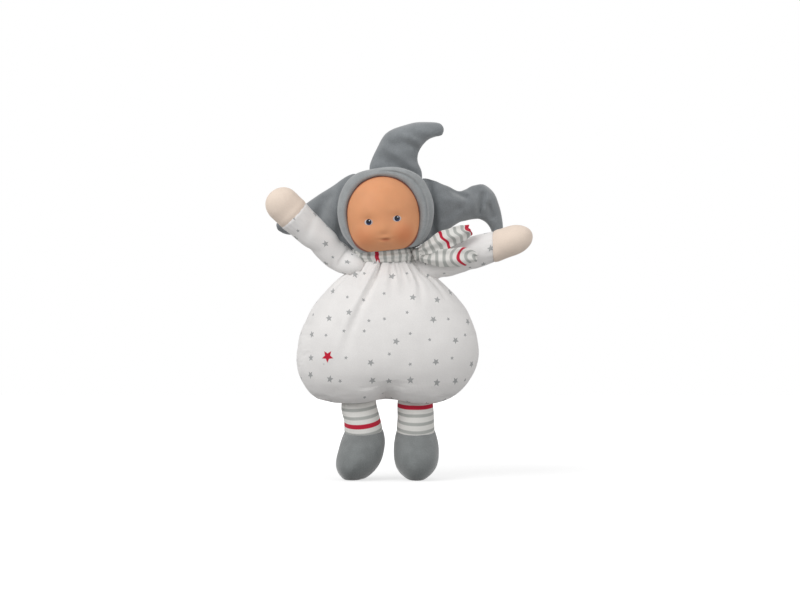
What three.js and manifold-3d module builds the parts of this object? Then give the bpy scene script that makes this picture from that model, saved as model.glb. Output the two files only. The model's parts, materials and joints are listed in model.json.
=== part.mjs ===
// An elf plush doll: a gathered bag body, a hooded head with three points, sewn limbs and a neck scarf.
// Millimetres, +Z up. The doll faces -Y, so its own right side is at -X.
import * as THREE from "three";
import { mergeVertices } from "three/addons/utils/BufferGeometryUtils.js";
import Module from "manifold-3d";

const wasm = await Module();
wasm.setup();

// Cloth, seams and clearances.
const jersey = 1.2; // thickness of the body, sleeve and stocking cloth
const velour = 1.6; // thickness of the hood, hand and boot cloth
const vinyl = 2.2; // thickness of the moulded face
const seamGap = 0.3; // between pieces that are sewn together
const runningGap = 0.7; // between pieces that move past each other

// Legs.
const hipSpread = 43.2; // between the two hip joints
const stockingLength = 21.8; // from the ankle seam up to the hip joint
const stockingWidth = 29;
const ankleHeight = 37;
const bootWidth = 36.4;
const bootLength = 47;
const soleWidth = 19;
const soleLength = 32;
const hipPinch = 5.2; // thickness of a leg's flat sewn top
const rightToeOut = 16; // degrees
const leftToeOut = 3; // degrees

// Body bag.
const bodyWidth = 144;
const bodyDepth = 76;
const bodyHeight = 110.5;
const neckWidth = 44;
const neckDepth = 34;
const crotchRise = 5; // how far the bottom seam is drawn up between the legs
const crotchWidth = 12;
const hipSeat = 0.7; // the hip joint lies this far below the bag

// Arms.
const shoulderSpread = 64; // between the two shoulder joints
const shoulderDrop = 3; // from the neckline down to the shoulder joints
const armRoot = 16; // diameter of the rounded root in its socket
const armLength = 85.5; // from the shoulder joint to the tip of the hand
const handLength = 30.5;
const sleeveWidth = 25;
const handWidth = 28;
const handThickness = 22;
const rightArmRaise = 43.6; // degrees above level
const leftArmRaise = 16; // degrees
const rightArmForward = 14; // degrees towards the front
const leftArmForward = 8; // degrees

// Neck and scarf.
const neckPlace = 0.5; // sideways, from the middle of the body
const neckRise = 4; // from the neckline up to the head joint
const headLean = 5; // degrees, towards the doll's right
const neckCoreWidth = 23;
const neckCoreAbove = 14; // from the head joint up into the head
const neckCoreBelow = 16; // and down into the body
const bandWidth = 45; // across the outside of the scarf's neck band
const bandDepth = 39;
const bandThickness = 5.4;
const bandHeight = 7;
const bandRise = 2.3; // from the head joint up to the middle of the band
const threadThickness = 1.8;
const knotWidth = 12.6;
const knotAside = 24; // from the neck's axis to the knot
const knotForward = 13.5;
const knotDrop = 3.5; // below the middle of the band
const tailLength = 40;
const tailWidth = 13;
const tailThickness = 3;
const upperTailRise = 22.5; // degrees above level
const lowerTailRise = -3; // degrees
const upperTailSeat = 2.2; // above the middle of the knot
const lowerTailSeat = -2.6;
const upperTailForward = 8; // how far its end lies in front of the knot
const lowerTailForward = 9;

// Head.
const hoodWidth = 76;
const hoodDepth = 66;
const hoodHeight = 73;
const hoodRise = 34; // from the head joint up to the middle of the head
const hoodBack = 1;
const faceWidth = 61;
const faceHeight = 64;
const faceDepth = 58;
const faceForward = 8;
const faceDrop = 1;
const maskEdge = 11; // the mask's edge lies this far in front of the neck's axis
const faceBandWidth = 7.2;
const faceBandDepth = 11;
const faceBandForward = 12;

// Hood points.
const pointThickness = 15; // at the fullest place
const pointSeam = 4; // at the seam, where the two panels are flat together
const panelGap = 0.6; // between a point's front and back panels
const pointSeat = 0.925; // a point's base lies at this share of the way out to the hood's surface
const sidePointBack = 7; // the side points are sewn this far behind the middle of the hood
const topPointTurn = 20; // degrees round the hood from straight up, towards the doll's left
const leftPointTurn = 82.5; // degrees
const rightPointTurn = -70; // degrees
// Stops along each point, from its base: across and up of its two edges, and how far back it lies.
// Going out along the point and seen from the front, the first edge is on the right hand.
// The first stop lies inside the hood, where the point is cut to its seam.
const topPointStops = [
  [19, -14, -20, -8, 0],
  [21.4, -2.7, -21.4, 2.7, 0],
  [17.9, 7.1, -16.5, 14, 0.5],
  [18.1, 13.4, -11.7, 23.8, 1],
  [20.9, 18.2, -3.9, 31.8, 2],
  [25.9, 22.1, 5.9, 36.5, 3],
  [30.8, 24.1, 19.3, 36.5, 4],
  [36.5, 25.5, 31.7, 34.2, 5],
  [40.6, 28.3, 40.4, 29.9, 5],
];
const leftPointStops = [
  [-9, -16, -16, 16, -4],
  [2.5, -21.1, -2.5, 21.1, 0],
  [15.3, -19, 13.4, 14.2, 9],
  [27.2, -16.9, 24, 9.3, 15],
  [33.7, -15.5, 32, 10.2, 19],
  [37.2, -15.1, 38.5, 13.2, 22],
  [39.9, -16.1, 47.3, 10, 24],
  [42.8, -18.7, 53.3, 2, 26],
  [45.3, -22.1, 55.9, -9.2, 27],
  [46.5, -25.7, 57.5, -22, 28],
  [48.7, -33, 53.5, -31.8, 28],
];
const rightPointStops = [
  [20, 12, 8, -16, -4],
  [11.4, 20.4, -5, -23, 0],
  [-6.7, 11.8, -20.9, -24.8, 11],
  [-24.7, 3.1, -32.5, -23, 21],
  [-40.4, -5, -43.4, -21.6, 29],
  [-51.3, -12.7, -50.2, -18.3, 33],
];

// Roundness of the solids.
const limbSides = 10;
const armSteps = 12;
const legSteps = 12;
const bodySides = 20;
const bodySteps = 9;
const headSides = 16;
const headSteps = 9;
const knotSides = 10;
const socketSides = 12;
const pointSides = 4; // on each panel
const pointSteps = 12;
const far = 400; // half the size of a cutting block

// Places that follow from the sizes.
const hipHeight = ankleHeight + stockingLength;
const bodyBottom = hipHeight + hipSeat;
const neckline = bodyBottom + bodyHeight;
const shoulderHeight = neckline - shoulderDrop;

const cloth = (color) =>
  new THREE.MeshStandardMaterial({ color, roughness: 0.95, metalness: 0 });
const materials = {
  print: cloth(0xf0efed),
  hood: cloth(0x81868a),
  hoodBand: cloth(0x8f9497),
  boots: cloth(0x7e8388),
  hands: cloth(0xe9d6c0),
  stripe: cloth(0xdedfda),
  filling: cloth(0xf6f5f0),
  thread: cloth(0xe4e2dd),
  face: new THREE.MeshStandardMaterial({ color: 0xd9986a, roughness: 0.55, metalness: 0 }),
};

// A closed three.js geometry as a solid that can be joined and cut.
function solidOf(geometry) {
  const bare = geometry.clone();
  bare.deleteAttribute("normal");
  bare.deleteAttribute("uv");
  const merged = mergeVertices(bare, 1e-4);
  return new wasm.Manifold(
    new wasm.Mesh({
      numProp: 3,
      vertProperties: new Float32Array(merged.attributes.position.array),
      triVerts: Uint32Array.from(merged.index.array),
    }),
  );
}

function geometryOf(solid) {
  const mesh = solid.getMesh();
  const geometry = new THREE.BufferGeometry();
  geometry.setAttribute("position", new THREE.BufferAttribute(mesh.vertProperties, 3));
  geometry.setIndex(new THREE.BufferAttribute(mesh.triVerts, 1));
  geometry.computeVertexNormals();
  return geometry;
}

// Adds a solid to a group as a named piece.
function piece(group, name, solid, material) {
  const mesh = new THREE.Mesh(geometryOf(solid), material);
  mesh.name = name;
  group.add(mesh);
}

// A surface through rings of points, each turning right-handed about the way the rings run.
// It closes on itself, or ends in a flat fan on its first and last rings.
function loft(rings, closesOnItself = false) {
  const sides = rings[0].length;
  const points = rings.flat();
  const faces = [];
  const spans = closesOnItself ? rings.length : rings.length - 1;
  for (let r = 0; r < spans; r++) {
    const next = (r + 1) % rings.length;
    for (let s = 0; s < sides; s++) {
      const t = (s + 1) % sides;
      faces.push(r * sides + s, r * sides + t, next * sides + t);
      faces.push(r * sides + s, next * sides + t, next * sides + s);
    }
  }
  if (!closesOnItself) {
    const middle = (ring) =>
      ring.reduce((sum, p) => sum.add(p), new THREE.Vector3()).divideScalar(sides);
    const start = points.length;
    const last = (rings.length - 1) * sides;
    points.push(middle(rings[0]), middle(rings.at(-1)));
    for (let s = 0; s < sides; s++) {
      const t = (s + 1) % sides;
      faces.push(start, t, s);
      faces.push(start + 1, last + s, last + t);
    }
  }
  const geometry = new THREE.BufferGeometry().setFromPoints(points);
  geometry.setIndex(faces);
  return solidOf(geometry);
}

// An oval ring, level, at a height, its middle moved by `forward` towards the doll's front.
function levelRing({ height, halfWidth, halfDepth, forward }, sides) {
  return Array.from({ length: sides }, (_, i) => {
    const turn = (2 * Math.PI * i) / sides;
    return new THREE.Vector3(halfWidth * Math.cos(turn), halfDepth * Math.sin(turn) - forward, height);
  });
}

// Smooth sizes between a few keys of [height, half width, half depth, forward].
function smoothed(keys, steps) {
  const places = new THREE.CatmullRomCurve3(keys.map((k) => new THREE.Vector3(k[0], k[3] ?? 0, 0)));
  const sizes = new THREE.CatmullRomCurve3(keys.map((k) => new THREE.Vector3(k[1], k[2], k[0])));
  return Array.from({ length: steps + 1 }, (_, i) => {
    const place = places.getPoint(i / steps);
    const size = sizes.getPoint(i / steps);
    return { height: place.x, forward: place.y, halfWidth: size.x, halfDepth: size.y };
  });
}

// The same sizes, smaller all round by a wall.
function inset(stations, wall) {
  const low = stations[0].height;
  const high = stations.at(-1).height;
  const middle = (low + high) / 2;
  const shrink = (high - low - 2 * wall) / (high - low);
  return stations.map((s) => ({
    height: middle + (s.height - middle) * shrink,
    forward: s.forward,
    halfWidth: Math.max(s.halfWidth - wall, s.halfWidth / 4),
    halfDepth: Math.max(s.halfDepth - wall, s.halfDepth / 4),
  }));
}

const stacked = (stations, sides) => loft(stations.map((s) => levelRing(s, sides)));

function ellipsoid(halfX, halfY, halfZ, x, y, z) {
  const egg = new THREE.SphereGeometry(1, headSides, headSteps);
  egg.rotateX(Math.PI / 2);
  egg.scale(halfX, halfY, halfZ);
  egg.translate(x, y, z);
  return solidOf(egg);
}

function ball(radius, sides, x = 0, y = 0, z = 0) {
  const round = new THREE.SphereGeometry(radius, sides, sides / 2);
  round.rotateX(Math.PI / 2);
  round.translate(x, y, z);
  return solidOf(round);
}

// A round post along Z between two heights, oval where the two half sizes differ.
function post(halfX, halfY, low, high, sides = limbSides) {
  const round = new THREE.CylinderGeometry(1, 1, 1, sides * 2);
  round.rotateX(Math.PI / 2);
  round.scale(halfX, halfY, high - low);
  round.translate(0, 0, (low + high) / 2);
  return solidOf(round);
}

// A big block that covers everything on one side of a plane: along "x", "y" or "z", from a place outwards.
function beyond(axis, place, towards) {
  const block = new THREE.BoxGeometry(2 * far, 2 * far, 2 * far);
  const shift = new THREE.Vector3();
  shift[axis] = place + towards * far;
  block.translate(shift.x, shift.y, shift.z);
  return solidOf(block);
}

// An oval loop round Z, or round Y when it stands up, with an oval section.
function loop(meanX, meanOther, halfOut, halfAlong, standing, sides, steps) {
  const rings = Array.from({ length: steps }, (_, i) => {
    const turn = (2 * Math.PI * i) / steps;
    const out = new THREE.Vector3(Math.cos(turn), Math.sin(turn), 0);
    return Array.from({ length: sides }, (_, j) => {
      const round = (2 * Math.PI * j) / sides;
      const reach = halfOut * Math.cos(round);
      return new THREE.Vector3(
        (meanX + reach) * out.x,
        (meanOther + reach) * out.y,
        -halfAlong * Math.sin(round),
      );
    });
  });
  const flat = loft(rings, true);
  return standing ? flat.rotate([90, 0, 0]) : flat;
}

const radians = THREE.MathUtils.degToRad;

// Body bag: two star-print panels, closed round the stuffing and drawn in at the neck.
const bodyStations = (wall) => {
  const half = bodyWidth / 2;
  const neckHalf = neckWidth / 2;
  const fullness = bodyDepth / bodyWidth;
  const neckFullness = neckDepth / neckWidth;
  const outline = [
    [0, 0.55 * half],
    [0.04, 0.74 * half],
    [0.13, 0.91 * half],
    [0.33, half],
    [0.52, 0.935 * half],
    [0.68, 0.8 * half],
    [0.82, 0.62 * half],
    [0.92, 0.44 * half],
    [1, neckHalf],
  ];
  const keys = outline.map(([share, width]) => {
    const ratio = THREE.MathUtils.lerp(fullness, neckFullness, share ** 3);
    return [bodyBottom + share * bodyHeight, width, width * ratio];
  });
  return inset(smoothed(keys, bodySteps), wall);
};

// The bag with its bottom seam drawn up between the legs.
function bodyBag(wall) {
  const rings = bodyStations(wall).map((s) =>
    levelRing(s, bodySides).map((p) => {
      const low = Math.max(0, 1 - (p.z - bodyBottom) / (bodyHeight / 3));
      p.z += crotchRise * low * Math.exp(-((p.x / crotchWidth) ** 2));
      return p;
    }),
  );
  return loft(rings);
}

const sideways = [-1, 1];

// The room for an arm's root, with its flats no nearer than the gap.
function socketBall(side, gap) {
  const flats = Math.cos(Math.PI / socketSides) ** 2;
  const radius = (armRoot / 2 + gap) / flats;
  return ball(radius, socketSides, (side * shoulderSpread) / 2, 0, shoulderHeight);
}

// What the limbs and the neck need to be clear in the body.
function bodySockets(gap) {
  let sockets = post(neckCoreWidth / 2 + gap, neckCoreWidth / 2 + gap, -neckCoreBelow - gap, far)
    .rotate([0, -headLean, 0])
    .translate([neckPlace, 0, neckline + neckRise]);
  for (const side of sideways) {
    sockets = sockets.add(socketBall(side, gap));
    const groove = new THREE.CylinderGeometry(
      hipPinch / 2 + gap,
      hipPinch / 2 + gap,
      stockingWidth + 2 * gap,
      limbSides,
    );
    groove.rotateZ(Math.PI / 2);
    groove.translate((side * hipSpread) / 2, 0, hipHeight);
    sockets = sockets.add(solidOf(groove));
  }
  return sockets;
}

const doll = new THREE.Group();

function addBody() {
  const shell = bodyBag(0).subtract(bodyBag(jersey)).subtract(bodySockets(runningGap));
  piece(doll, "body_front_panel", shell.subtract(beyond("y", -seamGap / 2, 1)), materials.print);
  piece(doll, "body_back_panel", shell.subtract(beyond("y", seamGap / 2, -1)), materials.print);
  const filling = bodyBag(jersey + seamGap).subtract(bodySockets(runningGap));
  piece(doll, "body_filling", filling, materials.filling);
}

// Arms: a sleeve closed at its root, a mitt hand closed at its tip, and the stuffing inside both.
function addArm(side, name, raise, forward, handHalfWidth, handHalfDepth) {
  const arm = new THREE.Group();
  arm.name = name + "_arm";
  arm.position.set((side * shoulderSpread) / 2, 0, shoulderHeight);
  arm.rotation.order = "ZYX";
  arm.rotation.set(radians(forward), side * radians(90 - raise), 0);
  doll.add(arm);
  const root = armRoot / 2;
  const sleeve = sleeveWidth / 2;
  const wrist = armLength - handLength;
  const handFull = wrist + handLength * 0.45;
  const tipSize = 0.55;
  const keys = [
    [-root, root * 0.3, root * 0.3],
    [-root * 0.8, root * 0.62, root * 0.62],
    [0, root, root],
    [0.22 * wrist, sleeve * 0.76, sleeve * 0.76],
    [0.48 * wrist, sleeve * 0.96, sleeve * 0.94],
    [0.78 * wrist, sleeve, sleeve * 0.96],
    [wrist, sleeve * 0.98, sleeve * 0.94],
    [handFull, handHalfWidth, handHalfDepth],
    [armLength - handLength * 0.16, handHalfWidth * 0.76, handHalfDepth * 0.74],
    [armLength - handLength * 0.03, handHalfWidth * tipSize * 0.6, handHalfDepth * tipSize * 0.6],
    [armLength, handHalfWidth * 0.12, handHalfDepth * 0.12],
  ];
  const stations = smoothed(keys, armSteps);
  const outer = stacked(stations, limbSides);
  const sleeveCup = outer
    .subtract(stacked(inset(stations, jersey), limbSides))
    .subtract(beyond("z", wrist - seamGap / 2, 1));
  const handCup = outer
    .subtract(stacked(inset(stations, velour), limbSides))
    .subtract(beyond("z", wrist + seamGap / 2, -1));
  piece(arm, name + "_sleeve", sleeveCup, materials.print);
  piece(arm, name + "_hand", handCup, materials.hands);
  const stuffing = stacked(inset(stations, velour + seamGap), limbSides);
  piece(arm, name + "_arm_filling", stuffing, materials.filling);
}

// Legs: a striped stocking with a flat sewn top, a rounded boot on a flat sole, and the stuffing inside.
function addLeg(side, name, toeOut) {
  const leg = new THREE.Group();
  leg.name = name + "_leg";
  leg.position.set((side * hipSpread) / 2, 0, hipHeight);
  doll.add(leg);
  const halfLeg = stockingWidth / 2;
  const halfBoot = bootWidth / 2;
  const halfLength = bootLength / 2;
  const toe = (bootLength - stockingWidth) / 2; // how far the boot's middle stands forward of the leg
  const flare = ankleHeight + stockingLength * 0.38;
  const soleSink = 0.5; // the rounded sole goes this far below the flat that it is cut to
  const keys = [
    [-soleSink, soleWidth / 2, soleLength / 2, toe * 0.42],
    [0.06 * ankleHeight, halfBoot * 0.76, halfLength * 0.8, toe * 0.55],
    [0.2 * ankleHeight, halfBoot * 0.94, halfLength * 0.95, toe * 0.7],
    [0.38 * ankleHeight, halfBoot, halfLength, toe * 0.68],
    [0.62 * ankleHeight, halfBoot * 0.98, halfLength * 0.9, toe * 0.5],
    [0.85 * ankleHeight, halfBoot * 0.9, halfLength * 0.74, toe * 0.22],
    [ankleHeight, halfLeg * 1.03, halfLeg * 1.05, toe * 0.06],
    [flare, halfLeg, halfLeg, 0],
    [hipHeight - stockingLength * 0.3, halfLeg * 0.98, halfLeg * 0.54, 0],
    [hipHeight, halfLeg * 0.95, hipPinch / 2, 0],
    [hipHeight + hipPinch * 0.45, halfLeg * 0.9, hipPinch * 0.16, 0],
  ];
  const stations = smoothed(keys, legSteps).map((s) => ({ ...s, height: s.height - hipHeight }));
  const turned = (solid) => solid.rotate([0, 0, side * toeOut]);
  const floor = beyond("z", -hipHeight, -1);
  const outer = stacked(stations, limbSides);
  const ankle = ankleHeight - hipHeight;
  const stocking = outer
    .subtract(stacked(inset(stations, jersey), limbSides))
    .subtract(beyond("z", ankle + seamGap / 2, -1));
  const boot = turned(
    outer
      .subtract(stacked(inset(stations, velour), limbSides))
      .subtract(beyond("z", ankle - seamGap / 2, 1))
      .subtract(floor),
  );
  const insole = beyond("z", velour + seamGap - hipHeight, -1);
  const stuffed = stacked(inset(stations, velour + seamGap), limbSides).subtract(insole);
  const stuffing = stuffed
    .subtract(beyond("z", ankle, -1))
    .add(turned(stuffed.subtract(beyond("z", ankle, 1))));
  piece(leg, name + "_stocking", stocking, materials.stripe);
  piece(leg, name + "_boot", boot, materials.boots);
  piece(leg, name + "_leg_filling", stuffing, materials.filling);
}

// Neck: a stuffed core, the thread that gathers the bag round it, and the scarf's band and knot.
const neck = new THREE.Group();
neck.name = "neck";
neck.position.set(neckPlace, 0, neckline + neckRise);
neck.rotation.y = -radians(headLean);
doll.add(neck);

function scarfBand(grow) {
  const half = bandThickness / 2;
  const band = loop(
    bandWidth / 2 - half,
    bandDepth / 2 - half,
    half + grow,
    bandHeight / 2 + grow,
    false,
    8,
    headSides,
  );
  return band.translate([0, 0, bandRise]);
}

// The knot at the scarf's side, in the neck's own frame.
function knotBall(grow) {
  return ball(knotWidth / 2 + grow, knotSides, knotAside, -knotForward, bandRise - knotDrop);
}

function addNeck() {
  const coreHalf = neckCoreWidth / 2;
  piece(neck, "neck_core", post(coreHalf, coreHalf, -neckCoreBelow, neckCoreAbove), materials.filling);
  const half = threadThickness / 2;
  const threadMean = coreHalf + seamGap + half;
  const threadLevel = -neckRise + seamGap + half;
  const tilt = Math.tan(radians(headLean)) * (threadMean + half);
  const thread = loop(threadMean, threadMean, half, half, false, 6, headSides);
  piece(neck, "neck_gathering_thread", thread.translate([0, 0, threadLevel + tilt]), materials.thread);
  piece(neck, "scarf_neck_band", scarfBand(0), materials.stripe);
  piece(neck, "scarf_knot", knotBall(0).subtract(scarfBand(seamGap)), materials.stripe);
}

// Scarf tails: flat strips that widen away from the knot, lying in front of the left arm.
function addTail(name, rise, level, forwardReach) {
  const tail = new THREE.Group();
  tail.name = name;
  tail.position.set(knotAside, -knotForward, bandRise - knotDrop);
  tail.rotation.y = -radians(rise);
  neck.add(tail);
  const half = tailWidth / 2;
  const thick = tailThickness / 2;
  const start = knotWidth / 3;
  const stops = [
    [start, 0.42],
    [start + 0.2 * tailLength, 0.56],
    [start + 0.45 * tailLength, 0.8],
    [start + 0.75 * tailLength, 0.97],
    [start + tailLength, 1],
  ];
  const rings = stops.map(([along, width], i) => {
    const share = i / (stops.length - 1);
    const y = -forwardReach * share ** 0.7 + thick * 0.35 * Math.sin(i * 2.1);
    const corner = thick * 0.55;
    const outline = [
      [-thick, -half * width + corner],
      [-thick, half * width - corner],
      [-corner, half * width],
      [corner, half * width],
      [thick, half * width - corner],
      [thick, -half * width + corner],
      [corner, -half * width],
      [-corner, -half * width],
    ];
    return outline.map(([dy, dz]) => new THREE.Vector3(along, y + dy, level + dz)).reverse();
  });
  piece(tail, name, loft(rings).subtract(ball(knotWidth / 2 + runningGap, knotSides)), materials.stripe);
}

// Head: a moulded face, a band round it, the two hood sides and the stuffing.
const head = new THREE.Group();
head.name = "head";
neck.add(head);

const hood = (grow) =>
  ellipsoid(
    hoodWidth / 2 + grow,
    hoodDepth / 2 + grow,
    hoodHeight / 2 + grow,
    0,
    hoodBack,
    hoodRise,
  );
const face = (grow) =>
  ellipsoid(
    faceWidth / 2 + grow,
    faceDepth / 2 + grow,
    faceHeight / 2 + grow,
    0,
    -faceForward,
    hoodRise - faceDrop,
  );

// The room that the head keeps round the scarf band and the neck core.
function collarRoom() {
  const pocketTop = bandRise + bandHeight / 2 + runningGap;
  const spare = 2;
  const round = runningGap + seamGap;
  const pocket = post(bandWidth / 2 + spare, bandDepth / 2 + spare, -far, pocketTop, headSides);
  const core = post(
    neckCoreWidth / 2 + round,
    neckCoreWidth / 2 + round,
    -far,
    neckCoreAbove + runningGap,
  );
  return pocket.add(core).add(knotBall(spare + 2 * runningGap));
}

function faceBand(grow) {
  const half = faceBandWidth / 2;
  const ring = loop(
    hoodWidth / 2 - half,
    hoodHeight / 2 + faceDrop / 2 - half,
    half + grow,
    faceBandDepth / 2 + grow,
    true,
    8,
    headSides,
  );
  return ring.translate([0, -faceBandForward, hoodRise]);
}

function addHead() {
  const room = collarRoom();
  const hoodFront = -faceBandForward + faceBandDepth / 2 + seamGap;
  const hoodShell = hood(0)
    .subtract(hood(-velour))
    .subtract(beyond("y", hoodFront, -1))
    .subtract(room);
  piece(head, "hood_right_side", hoodShell.subtract(beyond("x", -seamGap / 2, 1)), materials.hood);
  piece(head, "hood_left_side", hoodShell.subtract(beyond("x", seamGap / 2, -1)), materials.hood);
  const mask = face(0).subtract(face(-vinyl)).subtract(beyond("y", -maskEdge, 1)).subtract(room);
  piece(head, "face_mask", mask, materials.face);
  const band = faceBand(0).subtract(face(seamGap)).subtract(room);
  piece(head, "hood_face_band", band, materials.hoodBand);
  const behindFace = hood(-velour - seamGap).subtract(beyond("y", -maskEdge, -1));
  const stuffing = behindFace
    .add(face(-vinyl - seamGap))
    .subtract(faceBand(seamGap))
    .subtract(room);
  piece(head, "head_filling", stuffing, materials.filling);
}

// A hood point: two velour panels sewn flat at the hood seam and round their edges.
function addPoint(name, turn, back, stops) {
  const point = new THREE.Group();
  point.name = name;
  const base = [
    pointSeat * (hoodWidth / 2) * Math.sin(radians(turn)),
    hoodBack + back,
    hoodRise + pointSeat * (hoodHeight / 2) * Math.cos(radians(turn)),
  ];
  point.position.set(...base);
  head.add(point);
  const edge = (x, z) =>
    new THREE.CatmullRomCurve3(stops.map((s) => new THREE.Vector3(s[x], s[4], s[z])));
  const rightHand = edge(0, 1);
  const leftHand = edge(2, 3);
  const hoodRoom = hood(runningGap).translate(base.map((c) => -c));
  for (const [panel, facing] of [
    ["front", -1],
    ["back", 1],
  ]) {
    const rings = Array.from({ length: pointSteps + 1 }, (_, i) => {
      const share = i / pointSteps;
      const start = rightHand.getPoint(share);
      const end = leftHand.getPoint(share);
      const middle = start.clone().add(end).divideScalar(2);
      const across = start.clone().sub(middle);
      const swell = THREE.MathUtils.smoothstep(share, 0.1, 0.5);
      const fullest = THREE.MathUtils.lerp(pointSeam, pointThickness, swell) / 2;
      const halfDepth = Math.min(fullest, across.length() * 0.75) - panelGap / 2;
      return Array.from({ length: pointSides + 1 }, (_, j) => {
        const round = (Math.PI * j) / pointSides;
        const depth = facing * (halfDepth * Math.sin(round) + panelGap / 2);
        return middle
          .clone()
          .addScaledVector(across, facing * Math.cos(round))
          .add(new THREE.Vector3(0, depth, 0));
      });
    });
    piece(point, name + "_" + panel, loft(rings).subtract(hoodRoom), materials.hood);
  }
}

addBody();
addArm(-1, "right", rightArmRaise, rightArmForward, handWidth / 2, handThickness / 2);
addArm(1, "left", leftArmRaise, leftArmForward, handThickness / 2, handWidth / 2);
addLeg(-1, "right", rightToeOut);
addLeg(1, "left", leftToeOut);
addNeck();
addTail("scarf_upper_tail", upperTailRise, upperTailSeat, upperTailForward);
addTail("scarf_lower_tail", lowerTailRise, lowerTailSeat, lowerTailForward);
addHead();
addPoint("top_point", topPointTurn, 0, topPointStops);
addPoint("left_point", leftPointTurn, sidePointBack, leftPointStops);
addPoint("right_point", rightPointTurn, sidePointBack, rightPointStops);

// The part's origin is under the middle of its box, on the surface that it stands on.
const box = new THREE.Box3().setFromObject(doll);
const middle = box.getCenter(new THREE.Vector3());
doll.children.forEach((child) => {
  child.position.x -= middle.x;
  child.position.y -= middle.y;
  child.position.z -= box.min.z;
});

export default doll;
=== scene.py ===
# The looks of a hooded cloth doll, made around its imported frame.
# Sizes are millimetres, turned into metres where a mesh is made. The doll faces -Y, its right side is at -X.
import json
import math
import bpy
import bmesh
import numpy as np
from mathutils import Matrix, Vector, noise


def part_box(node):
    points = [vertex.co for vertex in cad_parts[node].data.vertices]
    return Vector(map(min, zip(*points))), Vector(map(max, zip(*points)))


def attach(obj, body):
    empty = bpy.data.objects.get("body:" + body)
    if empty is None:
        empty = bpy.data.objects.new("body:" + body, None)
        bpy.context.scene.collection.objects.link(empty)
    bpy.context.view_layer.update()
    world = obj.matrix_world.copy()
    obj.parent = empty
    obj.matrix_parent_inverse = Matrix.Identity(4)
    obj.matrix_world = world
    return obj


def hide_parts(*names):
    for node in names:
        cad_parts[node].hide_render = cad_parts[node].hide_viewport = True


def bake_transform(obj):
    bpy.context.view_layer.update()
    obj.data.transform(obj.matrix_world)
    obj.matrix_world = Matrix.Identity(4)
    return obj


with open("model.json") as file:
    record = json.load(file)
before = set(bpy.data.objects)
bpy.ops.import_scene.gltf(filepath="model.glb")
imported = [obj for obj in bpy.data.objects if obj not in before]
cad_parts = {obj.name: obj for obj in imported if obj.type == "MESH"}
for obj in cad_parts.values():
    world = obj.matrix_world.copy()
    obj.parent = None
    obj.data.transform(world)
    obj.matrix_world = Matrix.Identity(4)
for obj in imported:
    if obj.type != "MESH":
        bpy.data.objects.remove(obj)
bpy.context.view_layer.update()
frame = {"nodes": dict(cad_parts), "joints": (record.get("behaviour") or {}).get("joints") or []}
joints = {joint["name"]: joint for joint in frame["joints"]}
mm = 0.001
fullTurn = 2 * math.pi
quarterTurn = math.pi / 2
bothSides = ((-1, "right"), (1, "left"))
print("frame loaded:", len(frame["nodes"]), "nodes")


def jointPlace(name):
    return np.array(joints[name]["pos_m"]) / mm


def nodeBox(*names):
    corners = np.array([[list(c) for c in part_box(name)] for name in names]) / mm
    return corners[:, 0].min(0), corners[:, 1].max(0)


# Shape helpers

def smoothKeys(keys, places):  # a smooth curve through rows of a place and its values
    table = np.array(keys, float)
    x, y = table[:, 0], table[:, 1:]
    slope = np.gradient(y, x, axis=0)
    i = np.clip(np.searchsorted(x, places) - 1, 0, len(x) - 2)
    span = (x[i + 1] - x[i])[:, None]
    t = (places - x[i])[:, None] / span
    start = (1 + 2 * t) * (1 - t) ** 2 * y[i] + t * (1 - t) ** 2 * span * slope[i]
    end = t ** 2 * (3 - 2 * t) * y[i + 1] + t ** 2 * (t - 1) * span * slope[i + 1]
    return start + end


def smoothRows(rows, places):  # the same where the rows are one step apart
    return smoothKeys([(step, *row) for step, row in enumerate(rows)], places)


def fade(low, high, value):
    t = np.clip((value - low) / (high - low), 0, 1)
    return t * t * (3 - 2 * t)


def bump(value, middle, width):
    return np.exp(-((value - middle) / width) ** 2)


def dome(across, up, radius):
    return np.exp(-(np.hypot(across, up) / radius) ** 2)


def unit(vectors):
    return vectors / np.linalg.norm(vectors, axis=-1, keepdims=True)


def lengthAlong(points):  # how far along its line each point lies
    steps = np.linalg.norm(np.diff(points, axis=0), axis=-1)
    return np.concatenate([0 * steps[:1], np.cumsum(steps, 0)])


def roundTurns(count):
    return np.linspace(0, fullTurn, count, endpoint=False)


def turnsFrom(turns, middle):  # the shorter way round from a middle
    return (turns - middle + math.pi) % fullTurn - math.pi


def sideways(turns, power):  # a rounded-square wave, a plain cosine when the power is 2
    wave = np.cos(turns)
    return np.sign(wave) * np.abs(wave) ** (2 / power)


def squaredOval(turns, squareness, end):  # a round of radius 1, squarer at its top (1) or bottom (-1)
    c, s = np.cos(turns), np.sin(turns)
    power = 2 + squareness * np.clip(end * s, 0, 1) ** 0.5
    reach = (np.abs(c) ** power + np.abs(s) ** power) ** (-1 / power)
    return c * reach, s * reach


def lineFrame(ahead):  # directions along a line, upwards across it, and square to both
    ahead = unit(ahead)
    up = unit(np.stack([-ahead[:, 2], 0 * ahead[:, 0], ahead[:, 0]], -1))
    return ahead, up, np.cross(ahead, up)


def ringsAlong(middles, *parts):  # a part is a direction for every ring, and how far its points go that way
    rings = middles[:, None, :]
    for direction, reach in parts:
        rings = rings + direction[:, None, :] * reach[:, :, None]
    return rings


# Mesh helpers

def addObject(name, data):
    thing = bpy.data.objects.new(name, data)
    bpy.context.scene.collection.objects.link(thing)
    return thing


def readPlaces(mesh):
    places = np.empty(len(mesh.vertices) * 3, np.float32)
    mesh.vertices.foreach_get("co", places)
    return places.reshape(-1, 3)


def keepVectors(mesh, label, vectors):
    held = mesh.attributes.get(label) or mesh.attributes.new(label, "FLOAT_VECTOR", "POINT")
    held.data.foreach_set("vector", np.asarray(vectors, np.float32).ravel())


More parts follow.
